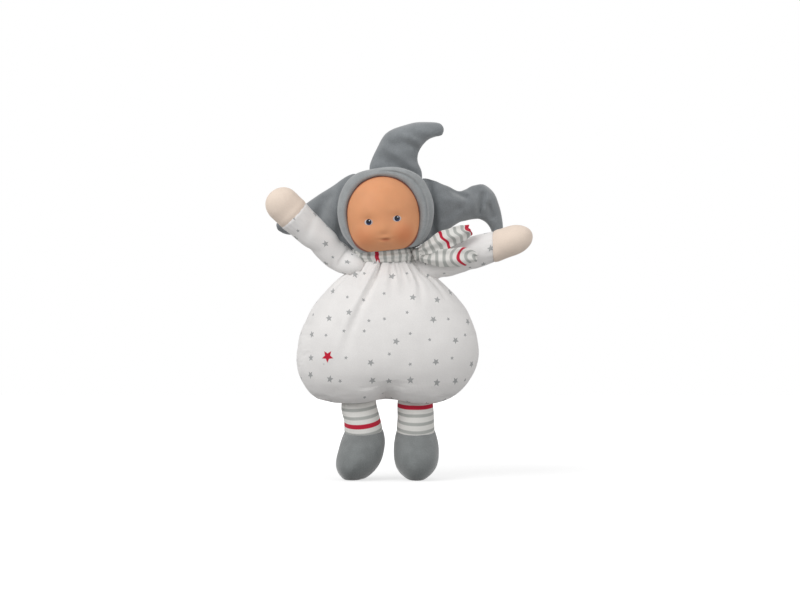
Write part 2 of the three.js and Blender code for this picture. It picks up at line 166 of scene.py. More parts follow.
def rememberPlaces(piece):  # finishes read the place at rest, so that they stay put when cloth bends
    keepVectors(piece.data, "restPlace", readPlaces(piece.data))


def movePoints(piece, places):
    piece.data.vertices.foreach_set("co", places.astype(np.float32).ravel())
    piece.data.update()
    rememberPlaces(piece)


# A mesh through rings of points. The cloth says where they lie on the flat cut cloth, caps close the ends,
# a loop joins the last ring to the first, and a sheet is open at its sides.
def skin(name, rings, cloth=None, caps=True, loop=False, sheet=False):
    rows, sides = rings.shape[:2]
    if cloth is None:
        cloth = np.zeros((rows, sides, 2))
    points, flat = rings.reshape(-1, 3), cloth.reshape(-1, 2)
    faces = []
    for r in range(rows if loop else rows - 1):
        low, high = r * sides, (r + 1) % rows * sides
        for s in range(sides - 1 if sheet else sides):
            t = (s + 1) % sides
            faces.append((low + s, low + t, high + t, high + s))
    if caps:
        start, end, last = rows * sides, rows * sides + 1, (rows - 1) * sides
        points = np.concatenate([points, [rings[0].mean(0), rings[-1].mean(0)]])
        flat = np.concatenate([flat, [cloth[0].mean(0), cloth[-1].mean(0)]])
        for s in range(sides):
            t = (s + 1) % sides
            faces += [(start, t, s), (end, last + s, last + t)]
    mesh = bpy.data.meshes.new(name)
    mesh.from_pydata((points * mm).tolist(), [], faces)
    keepVectors(mesh, "clothPlace", np.pad(flat * mm, ((0, 0), (0, 1))))
    if not sheet:
        work = bmesh.new()
        work.from_mesh(mesh)
        bmesh.ops.recalc_face_normals(work, faces=work.faces)
        work.to_mesh(mesh)
        work.free()
    mesh.shade_smooth()
    piece = addObject(name, mesh)
    rememberPlaces(piece)
    return piece


def thicken(piece, thickness, offset):  # offset 0 to both sides, -1 inwards
    layer = piece.modifiers.new("thickness", "SOLIDIFY")
    layer.thickness = thickness * mm
    layer.offset = offset
    made = piece.evaluated_get(bpy.context.evaluated_depsgraph_get())
    mesh = bpy.data.meshes.new_from_object(made)
    old = piece.data
    piece.modifiers.clear()
    piece.data = mesh
    bpy.data.meshes.remove(old)
    mesh.name = piece.name
    rememberPlaces(piece)
    return piece


def pushOut(piece, amounts):  # millimetres along each point's normal; the middles of the caps stay
    mesh = piece.data
    normals = np.empty(len(mesh.vertices) * 3, np.float32)
    mesh.vertex_normals.foreach_get("vector", normals)
    out = np.zeros(len(mesh.vertices))
    out[:amounts.size] = amounts.ravel()
    movePoints(piece, readPlaces(mesh) + normals.reshape(-1, 3) * (out * mm)[:, None])


def ruffle(piece, lumps, seedShift=0):  # soft uneven stuffing: size, height and seed of each kind of lump
    for size, amount, seed in lumps:
        shift = (seed + seedShift) * Vector((7.3, 3.1, 5.7))
        heights = [noise.noise(v.co / (size * mm) + shift) for v in piece.data.vertices]
        pushOut(piece, np.array(heights) * amount)


fillingShape = {"rounds": 6, "smoothing": 0.5}


def makeFilling(name, pieces, gap, node, *bodies, bend=None):  # the pieces' own shapes, drawn in
    work = bmesh.new()
    for piece in pieces:
        mesh = piece.data.copy()
        shell = bmesh.new()
        shell.from_mesh(mesh)
        for _ in range(fillingShape["rounds"]):
            bmesh.ops.smooth_vert(shell, verts=shell.verts, factor=fillingShape["smoothing"],
                                  use_axis_x=True, use_axis_y=True, use_axis_z=True)
        shell.normal_update()
        for vertex in shell.verts:
            vertex.co -= vertex.normal * gap * mm
        shell.to_mesh(mesh)
        shell.free()
        work.from_mesh(mesh)
        bpy.data.meshes.remove(mesh)
    mesh = bpy.data.meshes.new(name)
    work.to_mesh(mesh)
    work.free()
    mesh.shade_smooth()
    settle(addObject(name, mesh), fibre, "fibre_filling", [node], *bodies, fill=0.8, bend=bend)


def settle(piece, material, slot, nodes, *bodies, fill=None, bend=None):  # rides a body; a piece that spans two keeps its place
    piece.data.materials.clear()
    piece.data.materials.append(material)
    if nodes:
        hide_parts(*nodes)
    if bend:
        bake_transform(piece)
    else:
        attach(piece, *bodies)


# Finish helpers

def newGroup(name, inputs, outputs):  # an input is a number, or None for a vector
    group = bpy.data.node_groups.new(name, "ShaderNodeTree")
    for label, value in inputs.items():
        kind = "NodeSocketVector" if value is None else "NodeSocketFloat"
        socket = group.interface.new_socket(label, in_out="INPUT", socket_type=kind)
        if value is not None:
            socket.default_value = value
    for label in outputs:
        group.interface.new_socket(label, in_out="OUTPUT", socket_type="NodeSocketFloat")
    source = group.nodes.new("NodeGroupInput").outputs
    result = group.nodes.new("NodeGroupOutput").inputs
    return group, source, result


def feed(tree, socket, value):
    if isinstance(value, bpy.types.NodeSocket):
        tree.links.new(value, socket)
    else:
        socket.default_value = value


def newNode(tree, kind, *values, **settings):  # the values go to the node's first sockets, in order
    node = tree.nodes.new("ShaderNode" + kind)
    for label, setting in settings.items():
        setattr(node, label, setting)
    for socket, value in zip(node.inputs, values):
        feed(tree, socket, value)
    return node


def calc(tree, operation, *values):
    return newNode(tree, "Math", *values, operation=operation).outputs[0]


def times(tree, first, second):
    return calc(tree, "MULTIPLY", first, second)


def plus(tree, first, second):
    return calc(tree, "ADD", first, second)


def minus(tree, first, second):
    return calc(tree, "SUBTRACT", first, second)


def calcVector(tree, operation, *values):
    node = newNode(tree, "VectorMath", *values, operation=operation)
    return node.outputs["Value" if operation in ("LENGTH", "DISTANCE") else "Vector"]


def split(tree, vector):
    return newNode(tree, "SeparateXYZ", vector).outputs


def ramp(tree, value, low, high, atLow=0.0, atHigh=1.0):
    node = newNode(tree, "MapRange", value, low, high, atLow, atHigh, interpolation_type="SMOOTHSTEP")
    return node.outputs["Result"]


def tone(tree, unevenness, dark, light, low=0.3, high=0.7):  # a cloud's values, turned into a tone about 1
    return ramp(tree, unevenness, low, high, dark, light)


def cloud(tree, place, scale, detail):
    node = newNode(tree, "TexNoise", place)
    feed(tree, node.inputs["Scale"], scale)
    feed(tree, node.inputs["Detail"], detail)
    return node.outputs["Fac"]


def paint(tree, under, over, mask, blend="MIX"):
    node = newNode(tree, "Mix", data_type="RGBA", blend_type=blend)
    for index, value in ((0, mask), (6, under), (7, over)):  # the sockets that a mix of colours uses
        feed(tree, node.inputs[index], value)
    return node.outputs[2]


def tint(tree, colour, shade):
    return paint(tree, colour, shade, 1.0, "MULTIPLY")


def kept(tree, label):
    return newNode(tree, "Attribute", attribute_name=label).outputs["Vector"]


def place(tree, group, **values):
    node = newNode(tree, "Group", node_tree=group)
    for label, value in values.items():
        feed(tree, node.inputs[label], value)
    return node.outputs


def newMaterial(name, settings):
    material = bpy.data.materials.new(name)
    material.use_nodes = True
    shader = material.node_tree.nodes["Principled BSDF"]
    for label, value in {"Specular IOR Level": 0.25, **settings}.items():
        shader.inputs[label].default_value = value
    return material, material.node_tree


def dress(material, colour, height=None, relief=None):  # relief: its strength, and its depth
    tree = material.node_tree
    shader = tree.nodes["Principled BSDF"]
    tree.links.new(colour, shader.inputs["Base Color"])
    if height is not None:
        node = newNode(tree, "Bump", relief[0], relief[1] * mm)
        tree.links.new(height, node.inputs["Height"])
        tree.links.new(node.outputs["Normal"], shader.inputs["Normal"])
    return material


# Shared effects

velourLook = {
    "fibre": 1100.0, "brushing": 130.0, "drift": 45.0,  # how fine each layer of the pile is
    "fibreShare": 0.65, "pileTone": (0.93, 1.06), "driftTone": (0.96, 1.03),
    "shader": {"Roughness": 0.92, "Sheen Roughness": 0.45}, "relief": (0.5, 0.6),
}


def velourPileGroup():  # short pile: fine fibres, brushed patches and a slow drift of tone
    look = velourLook
    inputs = {"Place": None, "Fibre": look["fibre"], "Brushing": look["brushing"], "Contrast": 1.0}
    group, source, result = newGroup("velourPile", inputs, ("Height", "Tone"))
    fine = cloud(group, source["Place"], source["Fibre"], 2.0)
    brushed = cloud(group, source["Place"], source["Brushing"], 4.0)
    slow = cloud(group, source["Place"], look["drift"], 2.0)
    fibres = times(group, fine, look["fibreShare"])
    patches = times(group, brushed, 1 - look["fibreShare"])
    feed(group, result["Height"], plus(group, fibres, patches))
    fleck = tone(group, fine, *look["pileTone"], high=0.75)
    patch = tone(group, brushed, *look["pileTone"])
    drift = tone(group, slow, *look["driftTone"], 0.35, 0.65)
    allTones = times(group, times(group, fleck, patch), drift)
    change = times(group, minus(group, allTones, 1.0), source["Contrast"])
    feed(group, result["Tone"], plus(group, change, 1.0))
    return group


knitLook = {
    "wales": 900.0, "lean": 0.6, "fuzz": 1500.0, "fuzzHeight": 0.5, "softness": 70.0,
    "fuzzTone": (0.975, 1.015), "softTone": (0.97, 1.01),
}


def jerseyKnitGroup():  # rows of small knitted loops, with a little unevenness
    look = knitLook
    inputs = {"Cloth": None, "Place": None, "Wales": look["wales"]}
    group, source, result = newGroup("jerseyKnit", inputs, ("Height", "Tone"))
    cloth = split(group, source["Cloth"])
    across = times(group, cloth[0], source["Wales"])
    along = times(group, cloth[1], source["Wales"])
    leaning = plus(group, along, times(group, calc(group, "PINGPONG", across, 1.0), look["lean"]))
    ribs, rows = (calc(group, "ABSOLUTE", calc(group, "SINE", times(group, steps, math.pi)))
                  for steps in (across, leaning))
    fuzz = cloud(group, source["Place"], look["fuzz"], 2.0)
    soft = cloud(group, source["Place"], look["softness"], 3.0)
    loops = times(group, ribs, rows)
    feed(group, result["Height"], plus(group, loops, times(group, fuzz, look["fuzzHeight"])))
    grain = tone(group, fuzz, *look["fuzzTone"])
    feed(group, result["Tone"], times(group, grain, tone(group, soft, *look["softTone"])))
    return group


starLook = {
    "points": 5, "notch": 0.46, "soft": 0.06,  # the notches' radius is a share of the points'
    "spacing": 61.0, "stray": 0.62, "large": 2.9, "small": 1.6,
}


def starShapeGroup():  # a five-pointed star round a middle, in the plane of the cloth
    inputs = {"Offset": None, "Radius": 2 * mm, "Turn": 0.0}
    group, source, result = newGroup("starShape", inputs, ("Mask",))
    wedge = math.pi / starLook["points"]
    notch, soft = starLook["notch"], starLook["soft"]
    offset = split(group, source["Offset"])
    angle = plus(group, calc(group, "ARCTAN2", offset[1], offset[0]), source["Turn"])
    fromPoint = calc(group, "PINGPONG", angle, wedge)
    pointPart = calc(group, "SINE", fromPoint)
    notchPart = times(group, calc(group, "SINE", minus(group, wedge, fromPoint)), notch)
    edge = calc(group, "DIVIDE", notch * math.sin(wedge), plus(group, pointPart, notchPart))
    reach = calc(group, "DIVIDE", calcVector(group, "LENGTH", source["Offset"]), source["Radius"])
    feed(group, result["Mask"], ramp(group, minus(group, edge, reach), -soft, soft))
    return group


def starScatterGroup():  # large and small stars, each in its own cell of the cloth
    inputs = {"Cloth": None, "Spacing": starLook["spacing"], "Large": starLook["large"] * mm,
              "Small": starLook["small"] * mm}
    group, source, result = newGroup("starScatter", inputs, ("Mask",))
    cells = newNode(group, "TexVoronoi", source["Cloth"], voronoi_dimensions="2D")
    feed(group, cells.inputs["Scale"], source["Spacing"])
    feed(group, cells.inputs["Randomness"], starLook["stray"])
    chance = newNode(group, "SeparateColor", cells.outputs["Color"]).outputs
    offset = calcVector(group, "SUBTRACT", source["Cloth"], cells.outputs["Position"])
    flatOffset = calcVector(group, "MULTIPLY", offset, (1, 1, 0))
    isLarge = calc(group, "GREATER_THAN", chance[0], 0.5)
    growth = times(group, isLarge, minus(group, source["Large"], source["Small"]))
    star = place(group, starShape, Offset=flatOffset, Radius=plus(group, source["Small"], growth),
                 Turn=times(group, chance[1], fullTurn))
    feed(group, result["Mask"], star["Mask"])
    return group


def stripeRowsGroup():  # even stripes along a strip of cloth, every few of them another colour and width
    inputs = {"Along": 0.0, "Pitch": 5.5 * mm, "Width": 0.38, "Start": 0.0, "Every": 9.0, "AccentWidth": 0.5}
    group, source, result = newGroup("stripeRows", inputs, ("Plain", "Accent"))
    steps = calc(group, "DIVIDE", minus(group, source["Along"], source["Start"]), source["Pitch"])
    fromMiddle = calc(group, "PINGPONG", steps, 0.5)
    halfWidths = (calc(group, "DIVIDE", source[width], 2.0) for width in ("Width", "AccentWidth"))
    plain, accent = (ramp(group, minus(group, half, fromMiddle), -soft, soft)
                     for half, soft in zip(halfWidths, (0.07, 0.04)))
    row = calc(group, "FLOORED_MODULO", calc(group, "ROUND", steps), source["Every"])
    isAccent = calc(group, "LESS_THAN", row, 0.5)
    feed(group, result["Accent"], times(group, accent, isAccent))
    feed(group, result["Plain"], times(group, plain, minus(group, 1.0, isAccent)))
    return group


velourPile = velourPileGroup()
jerseyKnit = jerseyKnitGroup()
starShape = starShapeGroup()
starScatter = starScatterGroup()
stripeRows = stripeRowsGroup()


# Finishes of the cloths and the filling

def velourFinish(name, colour, sheen, contrast=1.0):
    material, tree = newMaterial(name, {"Sheen Weight": sheen, **velourLook["shader"]})
    pile = place(tree, velourPile, Place=kept(tree, "restPlace"), Contrast=contrast)
    return dress(material, tint(tree, colour, pile["Tone"]), pile["Height"], velourLook["relief"])


def knitted(name, look):  # how both jerseys start
    material, tree = newMaterial(name, look["shader"])
    cloth = kept(tree, "clothPlace")
    return material, tree, cloth, place(tree, jerseyKnit, Cloth=cloth, Place=kept(tree, "restPlace"))


printLook = {
    "cloth": (0.835, 0.817, 0.803, 1), "stars": (0.39, 0.395, 0.395, 1), "red": (0.56, 0.008, 0.035, 1),
    "shader": {"Roughness": 0.9, "Sheen Weight": 0.28}, "relief": (0.35, 0.25),
    "bareRound": (5.5, 8),  # no other star lies beside the red one
}


def starPrintFinish(name, shift, redStar=None):
    material, tree, cloth, knit = knitted(name, printLook)
    moved = calcVector(tree, "ADD", cloth, (shift[0] * mm, shift[1] * mm, 0))
    stars = place(tree, starScatter, Cloth=moved)["Mask"]
    colour = tint(tree, printLook["cloth"], knit["Tone"])
    if redStar:
        across, up = redStar["place"]
        offset = calcVector(tree, "SUBTRACT", cloth, (across * mm, up * mm, 0))
        near, far = printLook["bareRound"]
        stars = times(tree, stars, ramp(tree, calcVector(tree, "LENGTH", offset), near * mm, far * mm))
        red = place(tree, starShape, Offset=offset, Radius=redStar["radius"] * mm, Turn=redStar["turn"])
        colour = paint(tree, colour, printLook["red"], red["Mask"])
    colour = paint(tree, colour, printLook["stars"], stars)
    return dress(material, colour, knit["Height"], printLook["relief"])


stripeLook = {
    "cloth": (0.75, 0.74, 0.71, 1), "plain": (0.42, 0.43, 0.41, 1), "red": (0.50, 0.010, 0.038, 1),
    "shader": {"Roughness": 0.9, "Sheen Weight": 0.12, "Sheen Roughness": 0.6},
    "relief": (0.4, 0.3), "rimSoft": 0.2,
}


def stripedFinish(name, axis, start, every, width, pitch, accent=0.5, rim=None):
    material, tree, cloth, knit = knitted(name, stripeLook)
    along = split(tree, cloth)[axis]
    rows = place(tree, stripeRows, Along=along, Start=start * mm, Pitch=pitch * mm, Every=every, Width=width,
                 AccentWidth=accent)
    colour = paint(tree, stripeLook["cloth"], stripeLook["plain"], rows["Plain"])
    colour = paint(tree, colour, stripeLook["red"], rows["Accent"])
    if rim:  # a red edging from here on
        soft = stripeLook["rimSoft"]
        edging = ramp(tree, along, (rim - soft) * mm, (rim + soft) * mm)
        colour = paint(tree, colour, stripeLook["red"], edging)
    return dress(material, tint(tree, colour, knit["Tone"]), knit["Height"], stripeLook["relief"])


def ownPlace(tree):
    return newNode(tree, "TexCoord").outputs["Object"]


fibreLook = {
    "colour": (0.86, 0.86, 0.83, 1), "curls": 400.0, "tone": (0.8, 1.05), "relief": (0.8, 1.5),
    "shader": {"Roughness": 0.95, "Sheen Weight": 0.3},
}
threadLook = {
    "colour": (0.78, 0.76, 0.72, 1), "twist": 900.0, "tone": (0.7, 1.05), "relief": (0.6, 0.4),
    "shader": {"Roughness": 0.7},
}


def fibreFinish():
    material, tree = newMaterial("fibreFilling", fibreLook["shader"])
    curls = cloud(tree, ownPlace(tree), fibreLook["curls"], 6.0)
    colour = tint(tree, fibreLook["colour"], tone(tree, curls, *fibreLook["tone"]))
    return dress(material, colour, curls, fibreLook["relief"])


def threadFinish():
    material, tree = newMaterial("gatheringThread", threadLook["shader"])
    wave = newNode(tree, "TexWave", ownPlace(tree), threadLook["twist"], bands_direction="DIAGONAL")
    strands = wave.outputs["Fac"]
    colour = tint(tree, threadLook["colour"], ramp(tree, strands, 0.0, 1.0, *threadLook["tone"]))
    return dress(material, colour, strands, threadLook["relief"])


hoodVelour = velourFinish("hoodVelour", (0.231, 0.247, 0.259, 1), 0.85)
bandVelour = velourFinish("bandVelour", (0.309, 0.325, 0.331, 1), 0.45)
bootVelour = velourFinish("bootVelour", (0.204, 0.217, 0.217, 1), 0.8)
handVelour = velourFinish("handVelour", (0.83, 0.70, 0.595, 1), 0.2, 0.3)
fibre = fibreFinish()
threadCotton = threadFinish()
print("finishes made")


# Body bag: two panels of star print, gathered at the neck

bodyShape = {
    # share of the height; half width to the doll's right and left, and half depth, in shares of the bag's
    "outline": [
        (0.0, 0.60, 0.53, 0.46), (0.012, 0.69, 0.60, 0.52), (0.053, 0.808, 0.73, 0.66),
        (0.118, 0.905, 0.845, 0.80), (0.193, 0.968, 0.925, 0.895), (0.274, 0.997, 0.975, 0.955),
        (0.36, 0.998, 0.995, 0.985),
        (0.48, 0.966, 0.97, 0.985), (0.582, 0.908, 0.918, 0.94), (0.675, 0.838, 0.842, 0.87),
        (0.767, 0.724, 0.728, 0.765), (0.86, 0.575, 0.58, 0.645), (0.94, 0.41, 0.415, 0.52),
        (1.0, 0.305, 0.305, 0.445),
    ],
    "roundness": 2.12, "sides": 256, "rows": 110, "rowCrowding": 0.92, "stuffingGap": 2.6,
    "crotch": {"rise": 8.5, "width": 10.5, "reach": 4.2, "power": 1.5},
    "seat": {"share": 0.14, "height": 0.05, "deep": 0.9, "across": 0.55},
    "under": {"shares": (0.3, 0.62, 0.86), "rise": 1.6}, "collar": {"shares": (0.86, 0.7, 0.6), "rise": 1.5},
    "smallFolds": {"count": 24, "deep": 0.8, "width": 0.06, "stray": 0.28, "reach": (0.74, 0.9),
                   "vary": (0.5, 1.15)},
    # across at the neck and lower down, in shares of the half width; how far down; depth; width; ridge side
    "folds": [
        (-0.24, -0.43, 0.34, 2.7, 0.042, -0.7), (0.09, 0.05, 0.74, 1.5, 0.045, 0.2),
        (0.64, 0.42, 0.66, 1.5, 0.05, -0.4), (-0.76, -0.58, 0.78, 1.4, 0.05, 0.3),
        (0.88, 0.80, 0.70, 1.5, 0.07, 0.5), (0.36, 0.27, 0.80, 0.9, 0.04, 0.2),
        (-0.93, -0.86, 0.72, 1.3, 0.06, -0.3),
    ],
    "foldForm": {"opening": 0.4, "ridgeAt": 1.8, "sharpness": 1.4},
    "lumps": [(30, 1.0, 2), (12, 0.3, 5)],
    "heldAbove": (0.93, 0.965), "heldBelow": (0.055, 0.03),  # where the seams hold the cloth
    "printShift": (3, 5), "backPrint": 500, "redStar": {"place": (-46.8, 51), "radius": 5.0, "turn": 0.3},
}
clothRun = {
    "frames": 20, "cap": 2,  # the most that a point may move
    "settings": {
        "quality": 6, "mass": 0.2, "tension_stiffness": 25, "compression_stiffness": 25, "shear_stiffness": 8,
        "bending_stiffness": 0.02, "use_pressure": True, "uniform_pressure_force": 4, "shrink_min": -0.006,
    },
}


def gather(turns, share, middle, reach, deep, width, ridge):  # a valley that opens out, between ridges
    form = bodyShape["foldForm"]
    away = turnsFrom(turns[None, :], middle[:, None])
    t = away / (width * (1 + form["opening"] - form["opening"] * share[:, None]))
    held = fade(reach, 1.0, share)[:, None] ** 0.5
    left, right = bump(t, -form["ridgeAt"], 1), bump(t, form["ridgeAt"], 1)
    valley = np.exp(-np.abs(t) ** form["sharpness"])
    return held * deep * (0.5 * (1 + ridge) * right + 0.5 * (1 - ridge) * left - valley)


def bodyGathers(turns, share):
    small = bodyShape["smallFolds"]
    chance = np.random.default_rng(11)
    depth = np.zeros((len(share), len(turns)))
    for k in range(small["count"]):
        middle = fullTurn * (k + chance.uniform(-small["stray"], small["stray"])) / small["count"]
        reach = chance.uniform(*small["reach"])
        deep = small["deep"] * chance.uniform(*small["vary"])
        depth += gather(turns, share, middle + 0 * share, reach, deep, small["width"], 0.0)
    for face in (1, -1):  # the front's folds, and the same turned round for the back
        for atNeck, lower, reach, deep, width, ridge in bodyShape["folds"]:
            across = lower + (atNeck - lower) * fade(reach, 1.0, share)
            middle = -face * quarterTurn + np.arcsin(across)
            depth += gather(turns, share, middle, reach, deep, width, ridge)
    return depth


def inwards(ring, end):  # rings that close an end of the bag
    middle, height = ring.mean(0), ring[:, 2]
    rings = []
    for share in end["shares"]:
        moved = middle + (ring - middle) * share
        moved[:, 2] = height * share + height.mean() * (1 - share) + end["rise"] * (1 - share)
        rings.append(moved)
    return np.array(rings)


def bodyRings():
    shape = bodyShape
    low, high = nodeBox("body_front_panel", "body_back_panel")
    halfWidth, halfDepth = (high - low)[0] / 2, (high - low)[1] / 2
    middle = (low + high) / 2
    share = np.linspace(0, 1, shape["rows"]) ** shape["rowCrowding"]
    sizes = smoothKeys(shape["outline"], share)
    turns = roundTurns(shape["sides"])
    across = sideways(turns, shape["roundness"])
    outwards = sideways(turns - quarterTurn, shape["roundness"])
    wide = np.where(across[None, :] < 0, sizes[:, 0, None], sizes[:, 1, None]) * halfWidth
    deep = sizes[:, 2, None] * halfDepth
    seat, crotch = shape["seat"], shape["crotch"]
    crease = seat["deep"] * bump(share, seat["share"], seat["height"])[:, None]
    crease = crease * np.exp(-(across / seat["across"]) ** 4)
    x = (wide - crease) * across
    y = (deep - crease) * outwards
    z = low[2] + share[:, None] * (high[2] - low[2]) + 0 * x
    lowPart = np.clip(1 - share[:, None] * crotch["reach"], 0, 1) ** crotch["power"]
    z = z + crotch["rise"] * lowPart * bump(x, 0, crotch["width"])
    rings = np.stack([x + middle[0], y + middle[1], z], -1)
    under, collar = inwards(rings[0], shape["under"]), inwards(rings[-1], shape["collar"])
    gathers = bodyGathers(turns, share)
    plain, drawn = np.zeros((len(under), len(turns))), np.repeat(gathers[-1:], len(collar), 0)
    return np.concatenate([under, rings, collar]), np.concatenate([plain, gathers, drawn])


def stuff(piece, held):  # a short cloth run: air pushes the cut cloth out against its seams
    scene = bpy.context.scene
    start = readPlaces(piece.data)
    pins = piece.vertex_groups.new(name="seams")
    for index in np.nonzero(held > 0.01)[0]:
        pins.add([int(index)], float(held[index]), "REPLACE")
    cloth = piece.modifiers.new("stuffing", "CLOTH")
    for label, value in clothRun["settings"].items():
        setattr(cloth.settings, label, value)
    cloth.settings.vertex_group_mass = "seams"
    cloth.settings.effector_weights.gravity = 0
    cloth.point_cache.frame_start = 1
    cloth.point_cache.frame_end = clothRun["frames"]
    for step in range(1, clothRun["frames"] + 1):
        scene.frame_set(step)
    made = piece.evaluated_get(bpy.context.evaluated_depsgraph_get()).to_mesh()
    move = readPlaces(made) - start
    piece.modifiers.clear()
    piece.vertex_groups.clear()
    scene.frame_set(1)
    size = np.linalg.norm(move, axis=1, keepdims=True)
    movePoints(piece, start + move * np.minimum(1, clothRun["cap"] * mm / np.maximum(size, 1e-9)))
    print(piece.name, "cloth moved by up to", round(float(size.max()) / mm, 2), "mm")


def bagCloth(rings):  # how the two panels lie when they are flat: across from their middles, and up
    sides = rings.shape[1]
    closed = np.concatenate([rings, rings[:, :1]], 1)
    around = lengthAlong(closed.swapaxes(0, 1)).T
    girth, around = around[:, -1:], around[:, :-1]
    isFront = np.arange(sides)[None, :] >= sides // 2  # a ring passes the doll's back first
    u = np.where(isFront, around - girth * 0.75, around - girth * 0.25 + bodyShape["backPrint"])
    v = lengthAlong(rings[:, sides * 3 // 4])[:, None] + 0 * u
    return np.stack([u, v], -1)


def makeBody():
    rings, gathers = bodyRings()
    bag = skin("body_bag", rings, bagCloth(rings))
    height = np.append(np.repeat(np.arange(len(rings)), rings.shape[1]) / (len(rings) - 1), [0, 1])
    stuff(bag, np.maximum(fade(*bodyShape["heldAbove"], height), fade(*bodyShape["heldBelow"], height)))
    pushOut(bag, gathers)
    ruffle(bag, bodyShape["lumps"])
    return bag


bodyPrint = starPrintFinish("bodyPrint", bodyShape["printShift"], bodyShape["redStar"])
bodyBag = makeBody()
settle(bodyBag, bodyPrint, "star_print_jersey", ["body_front_panel", "body_back_panel"], "torso", fill=0.8)
makeFilling("body_stuffing", [bodyBag], bodyShape["stuffingGap"], "body_filling", "torso")
print("body bag made")


# Arms: sleeves with their star print, and mitt hands

armShape = {
    "sides": 72, "rows": 90, "stuffingGap": 1.2, "blend": (-4, 14), "printRound": 12.5,
    "wristSeam": {"overlap": 0.6, "tuck": 0.12, "slantReach": 16, "pucker": 0.22, "puckers": 17},
    # folds of the sleeve: place, slant, width and depth
    "folds": [(3, 5, 3.4, 0.6), (12, -6, 3.6, 0.8), (25, 7, 4.0, 0.9), (41, -5, 3.6, 0.7)],
    "cuff": [(-0.6, 0.86), (0, 0.97), (1.2, 1.005)],  # how the hand starts, in shares of the sleeve's end
    "handSeam": {"deep": 0.6, "width": 0.07}, "palmFrom": 0.45, "tipRoundness": 2.15, "tipCrowding": 1.15,
    "sleeveLumps": [(17, 0.8, 3), (8, 0.25, 6)], "handLumps": [(15, 0.5, 8)],
    "right": {
        "raise": 43.6, "forward": 14, "wrist": 58.5, "hand": 25.0, "root": 14, "bend": (14, -14),
        "bendPower": 1.6, "shift": (2.2, -15, 6.6), "printShift": (14, 23),
        "sleeve": [(0, 2.2), (2, 4.6), (6, 7.4), (14, 9.7), (21, 10.8), (29, 11.3), (36, 11.5), (45, 11.8),
                   (60, 12.4), (72, 13.1)],
        "flatness": 0.86, "palm": (13.5, 11.0), "tipLift": 0.0, "cuffSlant": 0.0,
    },
    "left": {
        "raise": 16, "forward": 8, "wrist": 53.5, "hand": 30.5, "root": 12, "bend": (30, -12),
        "bendPower": 1.0, "shift": (0, 1, 0), "printShift": (48, 23),
        "sleeve": [(0, 4.0), (1.5, 8.6), (6, 11.4), (18, 12.2), (30, 12.5), (45, 12.6), (58, 12.3),
                   (66, 11.7)],
        "flatness": 0.97, "palm": (11.7, 13.6), "tipLift": 2.6, "cuffSlant": -0.26,
    },
}


def armAlong(side, name):
    lift, lean = math.radians(armShape[name]["raise"]), math.radians(armShape[name]["forward"])
    level = math.cos(lean)
    return np.array([side * math.cos(lift) * level, -math.sin(lean), math.sin(lift) * level])


def armMiddles(side, name, places):  # the arm's middle line: straight, bent to the neck at its root
    arm = armShape[name]
    rootward = fade(*arm["bend"], places)[:, None] ** arm["bendPower"]
    tipward = np.clip((places - arm["wrist"]) / arm["hand"], 0, 1)[:, None] ** 2
    middles = jointPlace(name + "_shoulder") + places[:, None] * armAlong(side, name)
    return middles + rootward * np.array(arm["shift"]) + tipward * np.array([0, 0, arm["tipLift"]])


def armRings(side, name, places, sizes):
    arm, turns, step = armShape[name], roundTurns(armShape["sides"]), 0.05
    before, middles, after = (armMiddles(side, name, places + move) for move in (-step, 0, step))
    ahead, up, out = lineFrame(after - before)
    wide, thick = sizes[:, 0, None] * np.cos(turns), sizes[:, 1, None] * np.sin(turns)
    slant = arm["cuffSlant"] * bump(places, arm["wrist"], armShape["wristSeam"]["slantReach"])[:, None]
    rings = ringsAlong(middles, (-up, wide), (-out, thick), (ahead, slant * wide))
    return rings, np.stack([armShape["printRound"] * turns + 0 * wide, places[:, None] + 0 * wide], -1)


def sleeveCreases(side, name, places):  # slanting folds near the shoulder, and a puckered wrist seam
    seam, wrist = armShape["wristSeam"], armShape[name]["wrist"]
    p, t = places[:, None], roundTurns(armShape["sides"])[None, :]
    creases = 0 * p * t
    for middle, slant, width, deep in armShape["folds"]:
        uneven = 0.55 + 0.45 * np.cos(2 * t + middle)
        creases -= deep * bump(p, middle + slant * np.sin(t + side), width) * uneven
    pucker = seam["pucker"] * np.sin(t * seam["puckers"] + 1.3 * np.sin(3 * t))
    return creases + pucker * fade(wrist - 9, wrist - 1, p)


def makeSleeve(side, name):
    arm, seam = armShape[name], armShape["wristSeam"]
    end = arm["wrist"] + seam["overlap"]
    places = np.linspace(-arm["root"], end, armShape["rows"])
    wide = smoothKeys(arm["sleeve"], np.minimum(places + arm["root"], arm["sleeve"][-1][0]))[:, 0]
    wide = wide * (1 - seam["tuck"] * fade(arm["wrist"] - 0.5, end, places))
    rings, cloth = armRings(side, name, places, np.stack([wide, wide * arm["flatness"]], -1))
    sleeve = skin(name + "_sleeve_cloth", rings, cloth)
    pushOut(sleeve, sleeveCreases(side, name, places))
    ruffle(sleeve, armShape["sleeveLumps"], side)
    return sleeve


